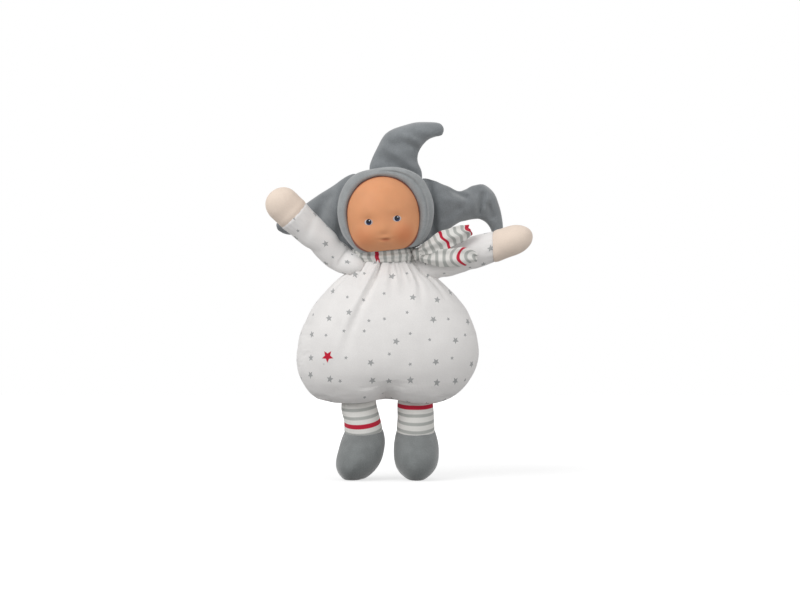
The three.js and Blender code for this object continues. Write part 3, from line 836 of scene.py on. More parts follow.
def makeHand(side, name):
    arm, seam, palmFrom = armShape[name], armShape["handSeam"], armShape["palmFrom"]
    reach, overlap = arm["hand"], armShape["wristSeam"]["overlap"]
    cuff = np.array([1, arm["flatness"]]) * arm["sleeve"][-1][1]
    palm = np.array(arm["palm"])
    keys = [(at, *(cuff * share)) for at, share in armShape["cuff"]]
    keys += [(0.25 * reach, *((cuff + 2 * palm) / 3)), (palmFrom * reach, *palm), (reach, *palm)]
    share = np.linspace(0, 1, armShape["rows"])
    places = (reach + overlap) * np.sin(share * quarterTurn) ** armShape["tipCrowding"] - overlap
    tip = np.clip((places / reach - palmFrom) / (1 - palmFrom), 0, 0.999)
    sizes = smoothKeys(keys, places) * np.sqrt(1 - tip ** armShape["tipRoundness"])[:, None]
    rings, cloth = armRings(side, name, arm["wrist"] + places, sizes)
    hand = skin(name + "_hand_velour", rings, cloth)
    turns = roundTurns(armShape["sides"])
    edges = sum(bump(turnsFrom(turns, middle), 0, seam["width"]) for middle in (0, math.pi))
    sewn = fade(1, 4, places) * fade(0.985, 0.8, places / reach)
    pushOut(hand, -seam["deep"] * edges[None, :] * sewn[:, None])
    ruffle(hand, armShape["handLumps"], side)
    return hand


for side, name in bothSides:
    body, shoulder = name + "_arm", jointPlace(name + "_shoulder")
    bend = [(shoulder + armAlong(side, name) * reach) * mm for reach in armShape["blend"]]
    sleeve = makeSleeve(side, name)
    sleevePrint = starPrintFinish(name + "SleevePrint", armShape[name]["printShift"])
    settle(sleeve, sleevePrint, "star_print_jersey", [name + "_sleeve"], "torso", body, fill=0.75, bend=bend)
    hand = makeHand(side, name)
    settle(hand, handVelour, "hand_velour", [name + "_hand"], body, fill=0.8)
    makeFilling(body + "_stuffing", [sleeve, hand], armShape["stuffingGap"], body + "_filling",
                "torso", body, bend=bend)
print("arms made")


# Legs: striped stockings and rounded boots

legShape = {
    "ankle": 37, "stocking": 14.4, "boot": 17.6, "bootLength": 23.5, "toe": 9, "sides": 80, "rows": 72,
    "lean": 0.19, "leanReach": 24, "riseTo": 30, "blend": (3, -9), "stuffingGap": 1.6,
    # shifts: how far the hip, the ankle and the sole lie to the side
    "right": {"toeOut": 16, "redAt": 45.1, "slope": 0.09, "shifts": (-1.0, 2.6, -3.6)},
    "left": {"toeOut": 2, "redAt": 58.1, "slope": 0.0, "shifts": (0.0, 0.3, 0.2)},
    "stripes": {"every": 9.0, "width": 0.38, "pitch": 5.7, "accent": 0.54},
    "droop": 1.7, "clothRound": 14.5,  # the stripes sag in front
    # the stocking: height from the ankle or the hip; half width and half depth, as shares
    "fromAnkle": [(-2.5, 0.9, 0.9), (-0.5, 1.0, 1.0), (3, 1.03, 1.02), (9, 1.0, 0.98)],
    "fromHip": [(-6, 0.975, 0.8), (0, 0.95, 0.55), (4, 0.92, 0.38)],
    "last": [  # the boot: height; half width, half length and toe reach, as shares
        (0.0, 0.27, 0.56, 0.42), (0.35, 0.38, 0.67, 0.45), (1.2, 0.47, 0.74, 0.5), (2.4, 0.56, 0.80, 0.55),
        (4.5, 0.69, 0.87, 0.62), (7.2, 0.81, 0.935, 0.68), (10.8, 0.915, 0.985, 0.7), (16, 0.985, 1.0, 0.66),
        (22, 1.0, 0.975, 0.55), (28, 0.985, 0.90, 0.38), (33, 0.935, 0.79, 0.18), (35.6, 0.89, 0.725, 0.08),
        (36.9, 0.865, 0.69, 0.05), (37.6, 0.83, 0.66, 0.03), (37.2, 0.78, 0.62, 0.0),
    ],
    "stockingLumps": [(12, 0.7, 14)], "bootLumps": [(16, 0.55, 20)],
}


def legRings(name, heights, sizes, toeOut, shift):
    turns = roundTurns(legShape["sides"])
    hip = jointPlace(name + "_hip")
    c, s = math.cos(math.radians(toeOut)), math.sin(math.radians(toeOut))
    x = sizes[:, 0, None] * np.cos(turns)
    y = sizes[:, 1, None] * np.sin(turns) - sizes[:, 2, None]
    tilt = legShape["lean"] * (1 - np.abs(heights - legShape["ankle"]) / legShape["leanReach"]).clip(0, 1)
    z = heights[:, None] + tilt[:, None] * (y + sizes[:, 2, None])
    rings = np.stack([x * c - y * s + shift[:, None], x * s + y * c, z], -1) + np.array([hip[0], hip[1], 0])
    return rings, np.stack([legShape["clothRound"] * turns + 0 * x, heights[:, None] + 0 * x], -1)


def makeStocking(side, name):
    leg, half, ankle = legShape[name], legShape["stocking"], legShape["ankle"]
    top = jointPlace(name + "_hip")[2]
    keys = [(base + at, half * wide, half * deep, 0)
            for base, stops in ((ankle, legShape["fromAnkle"]), (top, legShape["fromHip"]))
            for at, wide, deep in stops]
    heights = np.linspace(keys[0][0], keys[-1][0], legShape["rows"])
    atHip, atAnkle = leg["shifts"][:2]
    shift = atHip + (atAnkle - atHip) * fade(top, ankle, heights)
    rings, cloth = legRings(name, heights, smoothKeys(keys, heights), 0, shift)
    turns = roundTurns(legShape["sides"])
    cloth[:, :, 1] -= legShape["droop"] * np.sin(turns) + leg["slope"] * half * np.cos(turns)
    stocking = skin(name + "_stocking_cloth", rings, cloth)
    ruffle(stocking, legShape["stockingLumps"], side)
    return stocking


def makeBoot(side, name):
    leg = legShape[name]
    last = np.array(legShape["last"]) * [1, legShape["boot"], legShape["bootLength"], legShape["toe"]]
    rows = smoothRows(last, np.linspace(0, len(last) - 1, legShape["rows"]))
    heights = np.clip(rows[:, 0], 0, None)
    rise = np.sin(np.clip(heights / legShape["riseTo"], 0, 1) * quarterTurn)
    atAnkle, atSole = leg["shifts"][1:]
    shift = atSole + (atAnkle - atSole) * rise
    boot = skin(name + "_boot_velour", *legRings(name, heights, rows[:, 1:], side * leg["toeOut"], shift))
    ruffle(boot, legShape["bootLumps"], side)
    movePoints(boot, np.maximum(readPlaces(boot.data), [-np.inf, -np.inf, 0]))  # the sole stays flat
    return boot


for side, name in bothSides:
    body, hip = name + "_leg", jointPlace(name + "_hip")
    bend = [(hip + (0, 0, rise)) * mm for rise in legShape["blend"]]
    stocking = makeStocking(side, name)
    stripes = stripedFinish(name + "StockingStripes", 1, legShape[name]["redAt"], **legShape["stripes"])
    settle(stocking, stripes, "striped_jersey", [name + "_stocking"], "torso", body, fill=0.7, bend=bend)
    boot = makeBoot(side, name)
    settle(boot, bootVelour, "boot_velour", [name + "_boot"], body, fill=0.8)
    makeFilling(body + "_stuffing", [stocking, boot], legShape["stuffingGap"], body + "_filling",
                "torso", body, bend=bend)
print("legs made")


# Head: everything is made upright about the neck joint, then leaned with the neck

headShape = {
    "lean": math.radians(5), "middle": (0, 1, 34), "half": (38, 33, 36.5), "roundness": 2.12,
    "face": (-1.4, -8, 32.6), "faceHalf": (30.4, 29.5, 31.9), "opening": (28.1, 29.7), "lowSquareness": 0.45,
    "sides": 112, "rows": 64, "tiltFrom": -0.32, "frontTuck": 2.6, "seamDeep": 0.9, "seamWidth": 1.1,
    "scarfTop": 4.4, "scarfRoom": (30, 27), "roomDrop": 14,
    "knotRoom": (22.5, -15.7), "knotRise": 3, "knotReach": 9,
    "hoodLumps": [(22, 0.7, 31)], "stuffingGap": 2.0,
}
bandShape = {
    "right": 36.6, "left": 38, "top": 34.9, "low": 36.5, "squareness": 0.55, "roll": (8.5, 1.5), "sink": 1.2,
    "sides": 160, "rows": 44, "layer": 1.3, "layerGroove": 0.9, "lumps": [(13, 0.6, 37)],
    "section": [  # share of the way from the outer edge to the inner one, and how far forward
        (0.07, 2), (0.0, 6), (-0.02, 10.5), (0.06, 15), (0.24, 18.6), (0.48, 20.6), (0.72, 21.2),
        (0.92, 20.4), (1.0, 18.6), (0.98, 16.2), (0.8, 12), (0.4, 5),
    ],
}
neckJoint = jointPlace("head_turn")


def leaned(points):
    c, s = math.cos(headShape["lean"]), math.sin(headShape["lean"])
    x, y, z = points[..., 0], points[..., 1], points[..., 2]
    return np.stack([x * c - z * s, y, x * s + z * c], -1) + neckJoint


def aboveScarf(points):  # the head's underside is pressed flat on the scarf
    shape = headShape
    x, y = points[..., 0], points[..., 1]
    away = np.sqrt((x / shape["scarfRoom"][0]) ** 2 + (y / shape["scarfRoom"][1]) ** 2)
    floor = shape["scarfTop"] - shape["roomDrop"] * fade(0.92, 1.25, away)
    knotX, knotY = shape["knotRoom"]
    floor = floor + shape["knotRise"] * dome(x - knotX, y - knotY, shape["knotReach"])
    lifted = points.copy()
    lifted[..., 2] = np.maximum(points[..., 2], floor)
    return lifted


def makeHood():
    shape, middle = headShape, np.array(headShape["middle"])
    turns = roundTurns(shape["sides"])
    tilt = np.linspace(shape["tiltFrom"], quarterTurn - 0.01, shape["rows"])
    spread = np.abs(np.cos(tilt)) ** (2 / shape["roundness"])
    tucked = shape["frontTuck"] * fade(0.5, -0.1, tilt)[:, None]  # the sides run in behind the face band
    x = (shape["half"][0] * spread[:, None] - tucked) * np.cos(turns)
    z = middle[2] + (shape["half"][2] * spread[:, None] - tucked) * np.sin(turns)
    y = middle[1] + shape["half"][1] * np.sin(tilt)[:, None] + 0 * x
    seam = shape["seamDeep"] * bump(x, 0, shape["seamWidth"])  # the two sides are sewn together over the back
    seam = seam * fade(-0.2, 0.3, tilt)[:, None]
    rings = np.stack([x, y, z], -1)
    rings = rings - unit(rings - middle) * seam[:, :, None]
    hood = skin("hood_velour", leaned(aboveScarf(rings)))
    ruffle(hood, shape["hoodLumps"])
    return hood


def faceEdge(turns, halfX, halfZ):  # the face's outline: an oval, fuller below
    x, z = squaredOval(turns, headShape["lowSquareness"], -1)
    return x * halfX, z * halfZ


def makeFaceBand():
    shape, band = headShape, bandShape
    turns = roundTurns(band["sides"])
    outX, outZ = squaredOval(turns, band["squareness"], 1)
    outX = outX * np.where(outX < 0, band["right"], band["left"])
    outZ = outZ * np.where(outZ > 0, band["top"], band["low"])
    inX, inZ = faceEdge(turns, *shape["opening"])
    inX, inZ = inX + shape["face"][0], inZ + shape["face"][2] - shape["middle"][2]
    drawn = shape["frontTuck"] + band["sink"]
    hoodX, hoodZ = (shape["half"][0] - drawn) * np.cos(turns), (shape["half"][2] - drawn) * np.sin(turns)
    section = band["section"]
    rows = smoothRows(section + section[:1], np.linspace(0, len(section), band["rows"] + 1)[:-1])
    rings = np.empty((len(turns), len(rows), 3))
    for j, (share, forward) in enumerate(rows):
        rolled = fade(*band["roll"], forward) ** 1.6 * fade(0.35, 0.15, share)  # the back edge meets the hood
        edgeX, edgeZ = outX + (hoodX - outX) * rolled, outZ + (hoodZ - outZ) * rolled
        rings[:, j, 0] = edgeX + (inX - edgeX) * share
        rings[:, j, 1] = -forward
        rings[:, j, 2] = shape["middle"][2] + edgeZ + (inZ - edgeZ) * share
    folded = fade(-0.7, -0.2, turns) * fade(1.75, 1.2, turns)  # a second layer lies on the doll's upper left
    folded = np.maximum(folded, fade(fullTurn - 0.7, fullTurn - 0.2, turns))
    layer = band["layer"] * fade(0.44, 0.36, rows[:, 0]) * fade(3, 9, rows[:, 1])
    groove = band["layerGroove"] * bump(rows[:, 0], 0.46, 0.05)
    rings[:, :, 1] -= folded[:, None] * (layer - groove)[None, :]
    piece = skin("hood_face_band_velour", leaned(aboveScarf(rings)), caps=False, loop=True)
    ruffle(piece, band["lumps"])
    return piece


hood = makeHood()
settle(hood, hoodVelour, "hood_velour", ["hood_right_side", "hood_left_side"], "head", fill=0.8)
settle(makeFaceBand(), bandVelour, "hood_band_velour", ["hood_face_band"], "head", fill=0.6)
print("hood made")


# Face: a soft vinyl mask with a small nose, closed mouth and painted eyes

faceShape = {
    "eyes": ((-12.9, 26.9), (9.1, 27.8)), "nose": (-2.3, 20.0), "mouth": (-1.0, 12.6),
    "rings": 84, "sides": 144, "roundness": 2.05, "lowRoundness": 0.85, "backRim": 4,
    "noseForm": {"height": 0.9, "radius": 3.2, "across": 1.15, "above": 0.62, "below": 1.25},
    # by each eye: height, how far outwards and up of the eye, stretch across, radius
    "eyeForms": [(-1.3, 0, 0, 1.25, 5.6), (0.35, 0, 6.8, 1.6, 3.6), (1.2, 3.5, -12.5, 1, 8.5)],
    # height, width, how far up of the mouth's line, thickness
    "lips": [(0.8, 4.2, 1.5, 1.5), (1.0, 3.4, -1.9, 1.7), (-0.9, 4.2, 0, 0.7)],
    "smile": 0.01225, "chin": {"height": 1.0, "down": 8.5, "across": 1.5, "radius": 5},
}


def faceForward(x, z):  # how far the face stands in front of its edge plane, at places across and up
    halfX, halfY, halfZ = headShape["faceHalf"]
    u, w = (x - headShape["face"][0]) / halfX, (z - headShape["face"][2]) / halfZ
    power = faceShape["roundness"] + faceShape["lowRoundness"] * fade(0.0, -0.75, w)
    out = halfY * (1 - np.clip(np.abs(u) ** power + np.abs(w) ** power, 0, 1)) ** 0.5
    (noseX, noseZ), nose = faceShape["nose"], faceShape["noseForm"]
    upright = (z - noseZ) * np.where(z > noseZ, nose["above"], nose["below"])
    out = out + nose["height"] * dome((x - noseX) / nose["across"], upright, nose["radius"])
    for side, (eyeX, eyeZ) in zip((-1, 1), faceShape["eyes"]):
        for height, outwards, up, stretch, radius in faceShape["eyeForms"]:
            out = out + height * dome((x - eyeX - outwards * side) / stretch, z - eyeZ - up, radius)
    (mouthX, mouthZ), chin = faceShape["mouth"], faceShape["chin"]
    line = mouthZ + faceShape["smile"] * (x - mouthX) ** 2
    for height, width, up, thickness in faceShape["lips"]:
        out = out + height * bump(x, mouthX, width) * bump(z, line + up, thickness)
    below = z - mouthZ + chin["down"]
    return out + chin["height"] * dome((x - mouthX) / chin["across"], below, chin["radius"])


def makeFace():
    shape = headShape
    turns = roundTurns(faceShape["sides"])
    edgeX, edgeZ = faceEdge(turns, shape["faceHalf"][0], shape["faceHalf"][2])
    share = np.sin(np.linspace(0.004, 1, faceShape["rings"]) * quarterTurn) ** 1.05
    x = shape["face"][0] + share[:, None] * edgeX
    z = shape["face"][2] + share[:, None] * edgeZ
    y = shape["face"][1] - faceForward(x, z)
    back = np.stack([x[-1], 0 * x[-1] + shape["face"][1] + faceShape["backRim"], z[-1]], -1)[None]
    rings = np.concatenate([np.stack([x, y, z], -1), back])
    # how far out a place lies, 0 in the middle and 1 at the rim, for the painted shadow line at the rim
    reach = np.append(share, 1.05)[:, None] - 0.04 * np.clip(-np.sin(turns), 0, 1)[None, :] ** 0.5
    return skin("face_vinyl", leaned(aboveScarf(rings)), np.stack([reach, 0 * reach], -1))


def facePatch(name, middle, half, lift, height, turn):  # a thin layer of paint that follows the face
    turns = roundTurns(48)
    share = np.linspace(0.02, 1, 14)[:, None]
    c, s = math.cos(turn), math.sin(turn)
    patchX, patchZ = half[0] * np.cos(turns), half[1] * np.sin(turns)
    x = middle[0] + share * (patchX * c - patchZ * s)
    z = middle[1] + share * (patchX * s + patchZ * c)
    y = headShape["face"][1] - (faceForward(x, z) + lift + height * (1 - share ** 2))
    rim = np.stack([x[-1], y[-1] + lift + 0.15, z[-1]], -1)[None]
    return skin(name, leaned(np.concatenate([np.stack([x, y, z], -1), rim])))


def headPlace(x, y, z):
    return tuple(leaned(np.array([x, y, z], float)) * mm)


faceLook = {
    "vinyl": (0.71, 0.322, 0.158, 1), "relief": (0.12, 0.15), "mottle": 60.0, "grain": 1400.0,
    "shader": {"Roughness": 0.55, "Subsurface Weight": 0.06, "Subsurface Radius": (0.004, 0.0018, 0.0009)},
    # cheeks: blush paint on both; the doll's left cheek gets more, which also paints the shade on that side
    # of the face
    "cheeks": {"colour": (0.62, 0.205, 0.085, 1), "blushAndShade": (0.45, 0.75), "from": (3.5, -30, -12),
               "radii": (13, 2)},
    "lids": {"colour": (0.46, 0.18, 0.075, 1), "strength": 0.14, "from": (0, -34, 3.4), "radii": (3.4, 1),
             "stretch": (0.75, 0.5, 1.6)},
    "lips": {"colour": (0.40, 0.12, 0.055, 1), "strength": 0.75, "from": (0, -36, -0.2), "radii": (2.2, 0.5),
             "stretch": (0.42, 0.12, 1.0)},
    # rim: a painted shadow line, dark red where the mask meets the band
    "rim": {"colour": (0.21, 0.055, 0.04, 1), "strength": 0.9, "range": (0.89, 0.918)},
}


def spotPaint(tree, colour, rest, look, spot, strength, side=1):  # soft paint round a spot on the face
    outwards, forward, up = look["from"]
    middle = headPlace(spot[0] + outwards * side, forward, spot[1] + up)
    if "stretch" in look:
        flat = calcVector(tree, "MULTIPLY", calcVector(tree, "SUBTRACT", rest, middle), look["stretch"])
        away = calcVector(tree, "LENGTH", flat)
    else:
        away = calcVector(tree, "DISTANCE", rest, middle)
    outer, inner = look["radii"]
    return paint(tree, colour, look["colour"], ramp(tree, away, outer * mm, inner * mm, 0.0, strength))


def faceFinish():
    look, cheeks, lids, rim = faceLook, faceLook["cheeks"], faceLook["lids"], faceLook["rim"]
    material, tree = newMaterial("faceVinyl", look["shader"])
    rest = kept(tree, "restPlace")
    mottle = cloud(tree, rest, look["mottle"], 3.0)
    colour = tint(tree, look["vinyl"], tone(tree, mottle, 0.96, 1.03))
    # blush on each cheek; the stronger paint on the doll's left cheek is partly painted shade
    for side, strength, eye in zip((-1, 1), cheeks["blushAndShade"], faceShape["eyes"]):
        colour = spotPaint(tree, colour, rest, cheeks, eye, strength, side)
        colour = spotPaint(tree, colour, rest, lids, eye, lids["strength"])
    colour = spotPaint(tree, colour, rest, look["lips"], faceShape["mouth"], look["lips"]["strength"])
    reach = split(tree, kept(tree, "clothPlace"))[0]
    low, high = rim["range"]  # painted shadow: darker and redder where the mask runs into the band
    rimShadowMask = ramp(tree, reach, low * mm, high * mm, 0.0, rim["strength"])
    colour = paint(tree, colour, rim["colour"], rimShadowMask)
    return dress(material, colour, cloud(tree, rest, look["grain"], 2.0), look["relief"])


paintLook = {"shader": {"Roughness": 0.4}, "streaks": 2200.0, "edgeFrom": 0.45}


def paintFinish(name, colour, edge, middle, radius):  # gloss paint, turning to another colour at its edge
    material, tree = newMaterial(name, paintLook["shader"])
    rest = kept(tree, "restPlace")
    near = calcVector(tree, "DISTANCE", rest, middle)
    streaks = cloud(tree, rest, paintLook["streaks"], 2.0)
    edged = paint(tree, colour, edge, ramp(tree, near, radius * paintLook["edgeFrom"], radius))
    return dress(material, tint(tree, edged, tone(tree, streaks, 0.85, 1.1)))


eyeTurn = 0.05
eyeLayers = {  # place in the eye, half width and half height, lift, height, colour, its edge's and its reach
    "white": ((0, 0), (3.3, 2.35), 0.10, 0.35, (0.72, 0.69, 0.68, 1), (0.50, 0.38, 0.36, 1), 3.6),
    "iris": ((0.1, 0.15), (2.15, 2.236), 0.36, 0.15, (0.010, 0.026, 0.12, 1), (0.006, 0.012, 0.045, 1), 2.3),
    "pupil": ((0.05, 0.6), (1.68, 1.6), 0.52, 0.05, (0.003, 0.003, 0.005, 1), (0.003, 0.004, 0.010, 1), 1.4),
    "glint": ((0.75, 1.2), (0.5, 0.45), 0.62, 0.03, (0.80, 0.82, 0.86, 1), (0.70, 0.72, 0.80, 1), 0.8),
}


def makeEye(side, name, x, z):
    middle = headPlace(x, headShape["face"][1] - float(faceForward(np.array(x), np.array(z))), z)
    for layer, (spot, half, lift, height, colour, edge, radius) in eyeLayers.items():
        label = name + "_eye_" + layer
        patch = facePatch(label, (x + spot[0], z + spot[1]), half, lift, height, eyeTurn * side)
        patchPaint = paintFinish(label + "_paint", colour, edge, middle, radius * mm)
        settle(patch, patchPaint, "face_vinyl", [], "head")


face = makeFace()
settle(face, faceFinish(), "face_vinyl", ["face_mask"], "head")
makeFilling("head_stuffing", [hood, face], headShape["stuffingGap"], "head_filling", "head")
for (side, name), eye in zip(bothSides, faceShape["eyes"]):
    makeEye(side, name, *eye)
print("face made")


# Hood points: two panels each, sewn together along their edges and softly stuffed

pointShape = {
    "sides": 64, "rows": 96, "base": 11, "seat": 0.925, "blend": (-3, 14), "lump": (15, 1.0),
    "backCreases": 0.4, "roundTip": 0.03, "tipCrowding": 1.15, "edgeSharpness": 1.12, "deepest": 0.78,
    # stops along a point from its base: across and up of its two edges, and how far back it lies
    # creases: across and up of both ends, width and depth, a ridge where the depth is below nothing
    "top": {
        "turn": 20, "back": 0, "thick": 18, "lowBack": 0, "lumpSeed": 44,
        "stops": [(19, -14, -20, -8, 5), (20.2, -2.1, -20.9, 4.3, 5), (17.8, 6.6, -17.9, 12.3, 5),
                  (18.6, 13.5, -12.7, 21.7, 4.5), (22.1, 19.1, -5.7, 30.2, 4), (27.1, 23.1, 4.2, 34.9, 4),
                  (32.5, 24.6, 17, 37.8, 4.5), (36.5, 25.0, 29.6, 37.6, 5), (38.8, 26.0, 37.2, 36.0, 5),
                  (40.6, 29.2, 40.4, 32.6, 5)],
        "creases": [(-8.5, 19.8, 15.2, 1.2, 4.0, -2.2), (-11, 12.5, 10.5, -3, 4.6, 1.7),
                    (0, 20.8, 9.2, 21.4, 5, 3.0), (11.2, 25.9, 20.1, 19.6, 2.6, -2.0),
                    (13, 19.2, 21, 14.5, 3.0, 2.2)],
    },
    "left": {
        "turn": 82.5, "back": 7, "thick": 17, "lowBack": 0, "lumpSeed": 45,
        "stops": [(-9, -30.5, -16, 16, -2), (1.6, -33, -1, 20.8, 4), (11.4, -22.8, 13.6, 14, 8),
                  (22.2, -16.1, 23.7, 9.5, 15), (28.8, -14.8, 30.2, 10.3, 19), (34.6, -13.9, 37, 13.2, 22),
                  (39.5, -13.9, 45.8, 13.2, 24), (43.7, -16.4, 52.9, 5.9, 26), (46.7, -20, 56.4, -4.4, 27),
                  (48.7, -24.6, 58, -14.1, 28), (49.4, -30.2, 58.1, -23, 28), (50.5, -34.5, 56, -33, 28)],
        "creases": [(44.5, 4.4, 40.2, -8.6, 2.4, 3.4), (48, 7, 44.6, -7, 2.4, -2.0),
                    (48, -5, 50.1, -13, 2.8, 3.2), (2.8, 22, 1.8, -24, 3.2, 6.0),
                    (19, 9.5, 30.5, 3.7, 1.9, 2.6), (14, 3, 26, 1, 3.2, -1.8),
                    (33, 6, 36, -6, 2.6, -2.2), (12, -12, 24, -5, 2.2, 2.0)],
    },
    "right": {
        "turn": -70, "back": 7, "thick": 17, "lowBack": 9, "lumpSeed": 46,
        "stops": [(20, 13, 14, -30, -4), (11.5, 22.2, 5, -38, 0), (-4.5, 15.3, -8.5, -36, 6),
                  (-18.9, 7.7, -22, -27, 17), (-34.3, -0.5, -36, -21.3, 26), (-43.7, -5, -44.1, -20.5, 30),
                  (-51, -8.0, -49.8, -19.0, 33), (-55.2, -10.8, -54.6, -15.5, 33)],
        "creases": [(-12, 4, -20, -10, 4.5, 3.2), (-2.2, 10.4, -8.2, -22, 5, -1.4),
                    (1, -4, -3, -26, 5, 2.6)],
    },
}


def pointBase(point):
    turn, seat = math.radians(point["turn"]), pointShape["seat"]
    (midX, midY, midZ), half = headShape["middle"], headShape["half"]
    return np.array([midX + seat * half[0] * math.sin(turn), midY + point["back"],
                     midZ + seat * half[2] * math.cos(turn)])


def pointCreases(point, rings):  # how deep each place lies in the creases
    x, z = rings[:, :, 0], rings[:, :, 2]
    depth = 0 * x
    for startX, startZ, endX, endZ, wide, deep in point["creases"]:
        runX, runZ = endX - startX, endZ - startZ
        toX, toZ = x - startX, z - startZ
        part = np.clip((toX * runX + toZ * runZ) / (runX ** 2 + runZ ** 2), 0, 1)
        depth += deep * dome(toX - part * runX, toZ - part * runZ, wide)
    return depth


def makePoint(name):
    shape, point = pointShape, pointShape[name]
    share = np.linspace(0, 1, shape["rows"])
    eased = 1 - (1 - share) ** shape["tipCrowding"]
    rows = smoothRows(point["stops"], eased * (len(point["stops"]) - 1))
    first, second = rows[:, [0, 4, 1]], rows[:, [2, 4, 3]]
    second[:, 1] += point["lowBack"] * fade(1, 0.6, share)  # the lower edge leaves room for the arm
    middle, across = (first + second) / 2, (first - second) / 2
    tip = np.clip((eased - 1) / shape["roundTip"] + 1, 0, 0.98)
    closing = np.sqrt(1 - tip ** 2)
    full = shape["base"] + (point["thick"] - shape["base"]) * fade(0.02, 0.4, eased)
    halfDepth = np.minimum(full / 2, np.linalg.norm(across, axis=1) * shape["deepest"]) * closing
    turns = roundTurns(shape["sides"])
    c, s = np.cos(turns), np.sin(turns)
    rings = ringsAlong(middle, (across * closing[:, None], c[None, :] + 0 * share[:, None]))
    lens = np.sign(s) * np.abs(s) ** shape["edgeSharpness"]  # panels meet in a soft edge
    facing = np.abs(s) ** 0.5 * np.where(s < 0, -1, shape["backCreases"])
    creases = pointCreases(point, rings) * facing[None, :] * fade(0, 4, halfDepth)[:, None]
    rings[:, :, 1] += halfDepth[:, None] * lens[None, :] - creases
    piece = skin(name + "_point_velour", leaned(rings + pointBase(point)))
    ruffle(piece, [(*shape["lump"], point["lumpSeed"])])
    return piece, unit(middle[len(middle) // 2] - middle[0])


for name in ("top", "left", "right"):
    body = name + "_point"
    piece, outwards = makePoint(name)
    base = pointBase(pointShape[name])
    bend = [leaned(base + outwards * reach) * mm for reach in pointShape["blend"]]
    panels = [body + "_front", body + "_back"]
    settle(piece, hoodVelour, "hood_velour", panels, "head", body, fill=0.6, bend=bend)
print("hood points made")


# Scarf: a folded strip of striped cloth round the neck, a knot and two tails

scarfShape = {
    "cloth": 0.8, "stripes": {"every": 30.0, "width": 0.42, "pitch": 5.6}, "tailAccent": 0.42,
    "blend": (6, 16),
    "band": {
        "half": (22.3, 19.6), "height": 4.9, "rise": 0.2, "frontDrop": 0.1, "bulge": 2.8, "redAt": 90.6,
        "slack": (6.5, 3.5),  # outwards and up, where it hangs loose at the doll's right
        "cut": 10, "pleat": 0.5, "ripple": 0.35, "wave": 0.4, "rows": 161, "across": 29,
    },
    "knot": {
        "place": (24, -13.5, -0.2), "half": 5.6, "shares": (0.92, 0.95, 0.95), "wraps": (0.55, 0.3),
        "pinch": 0.16, "pinchWidth": 2.2, "redAt": 100.0, "printShift": 40, "sides": 64, "rows": 44,
    },
    "tail": {"rows": 84, "sides": 72, "pleat": (1.2, 0.4), "crumple": 0.6, "mouth": 0.9, "waist": 0.05,
             "round": 6.5},
    # tails from the knot: share, across, forward, up, half width, half thickness
    "upper": {
        "path": [(0, 0, 3, 2, 3.0, 1.8), (0.22, 8, 6.4, 5.2, 5.6, 1.5), (0.5, 20, 6.6, 10.8, 7.4, 2.2),
                 (0.75, 30, 6.5, 14.8, 6.6, 2.6), (1, 39, 5, 18.2, 4.6, 3.0)],
        "redAt": 22, "phase": 0.4, "curl": 0.0, "slant": 1.8, "rim": 2.2,
    },
    "lower": {
        "path": [(0, 0.5, 3, -2.5, 3.0, 2.0), (0.18, 8.6, 5.5, -3.8, 4.8, 2.2),
                 (0.37, 17.2, 6.5, -3.6, 6.6, 2.5), (0.56, 26, 7.5, -3.0, 7.4, 3.2),
                 (0.68, 31.5, 8.5, -2.6, 7.2, 3.6), (0.82, 37, 9, -2.2, 6.6, 2.8),
                 (0.93, 41.5, 9, -2.6, 4.6, 1.6), (1, 44, 8.5, -3.4, 2.4, 0.9)],
        "redAt": 30.5, "phase": 2.1, "curl": 5.5, "slant": 0.0, "rim": -5,
    },
}


def makeScarfBand():
    band = scarfShape["band"]
    turns = np.linspace(0, fullTurn, band["rows"])[:, None]
    across = np.linspace(-1, 1, band["across"])[None, :]
    halfX, halfY = band["half"]
    c, s = np.cos(turns), np.sin(turns)
    pleat = band["pleat"] * np.cos(across * 7 + 0.9 * np.sin(2 * turns) + 0.6) * (1 - across ** 4)
    bulge = band["bulge"] * (np.sqrt(1.04 - across ** 2) - 1) + pleat
    ripple = band["ripple"] * np.sin(turns * 13 + 1.2 * np.sin(turns * 5)) * (0.4 + across ** 2)
    slackOut, slackUp = (slack * np.clip(-c, 0, 1) ** 2 for slack in band["slack"])
    x = (halfX + bulge + ripple + slackOut) * c
    y = (halfY + bulge + ripple) * s
    wave = band["wave"] * np.sin(3 * turns + 1)
    z = band["rise"] + band["frontDrop"] * s + band["height"] * across + wave + slackUp
    cloth = np.stack([turns * (halfX + halfY) / 2 + 0 * z, across * band["cut"] + 0 * z], -1)
    piece = skin("scarf_band_cloth", leaned(np.stack([x, y, z], -1)), cloth, caps=False, sheet=True)
    return thicken(piece, scarfShape["cloth"], 0)


def makeKnot():
    knot = scarfShape["knot"]
    turns = roundTurns(knot["sides"])
    tilt = np.linspace(-quarterTurn + 0.05, quarterTurn - 0.05, knot["rows"])[:, None]
    longWrap, crossWrap = knot["wraps"]
    wrap = longWrap * np.sin(5 * tilt + 1.5 * np.sin(turns)) + crossWrap * np.sin(7 * turns + 3 * tilt)
    halfX, halfY, halfZ = ((knot["half"] + wrap) * share for share in knot["shares"])
    x = halfX * np.cos(tilt) * np.cos(turns)
    y = halfY * np.cos(tilt) * np.sin(turns)
    z = halfZ * np.sin(tilt)
    pinch = 1 - knot["pinch"] * bump(x, 0, knot["pinchWidth"])  # the turn that holds the tails
    rings = np.stack([x, y * pinch, z * pinch], -1) + np.array(knot["place"])
    return skin("scarf_knot_cloth", leaned(rings), np.stack([x + knot["printShift"], z], -1))


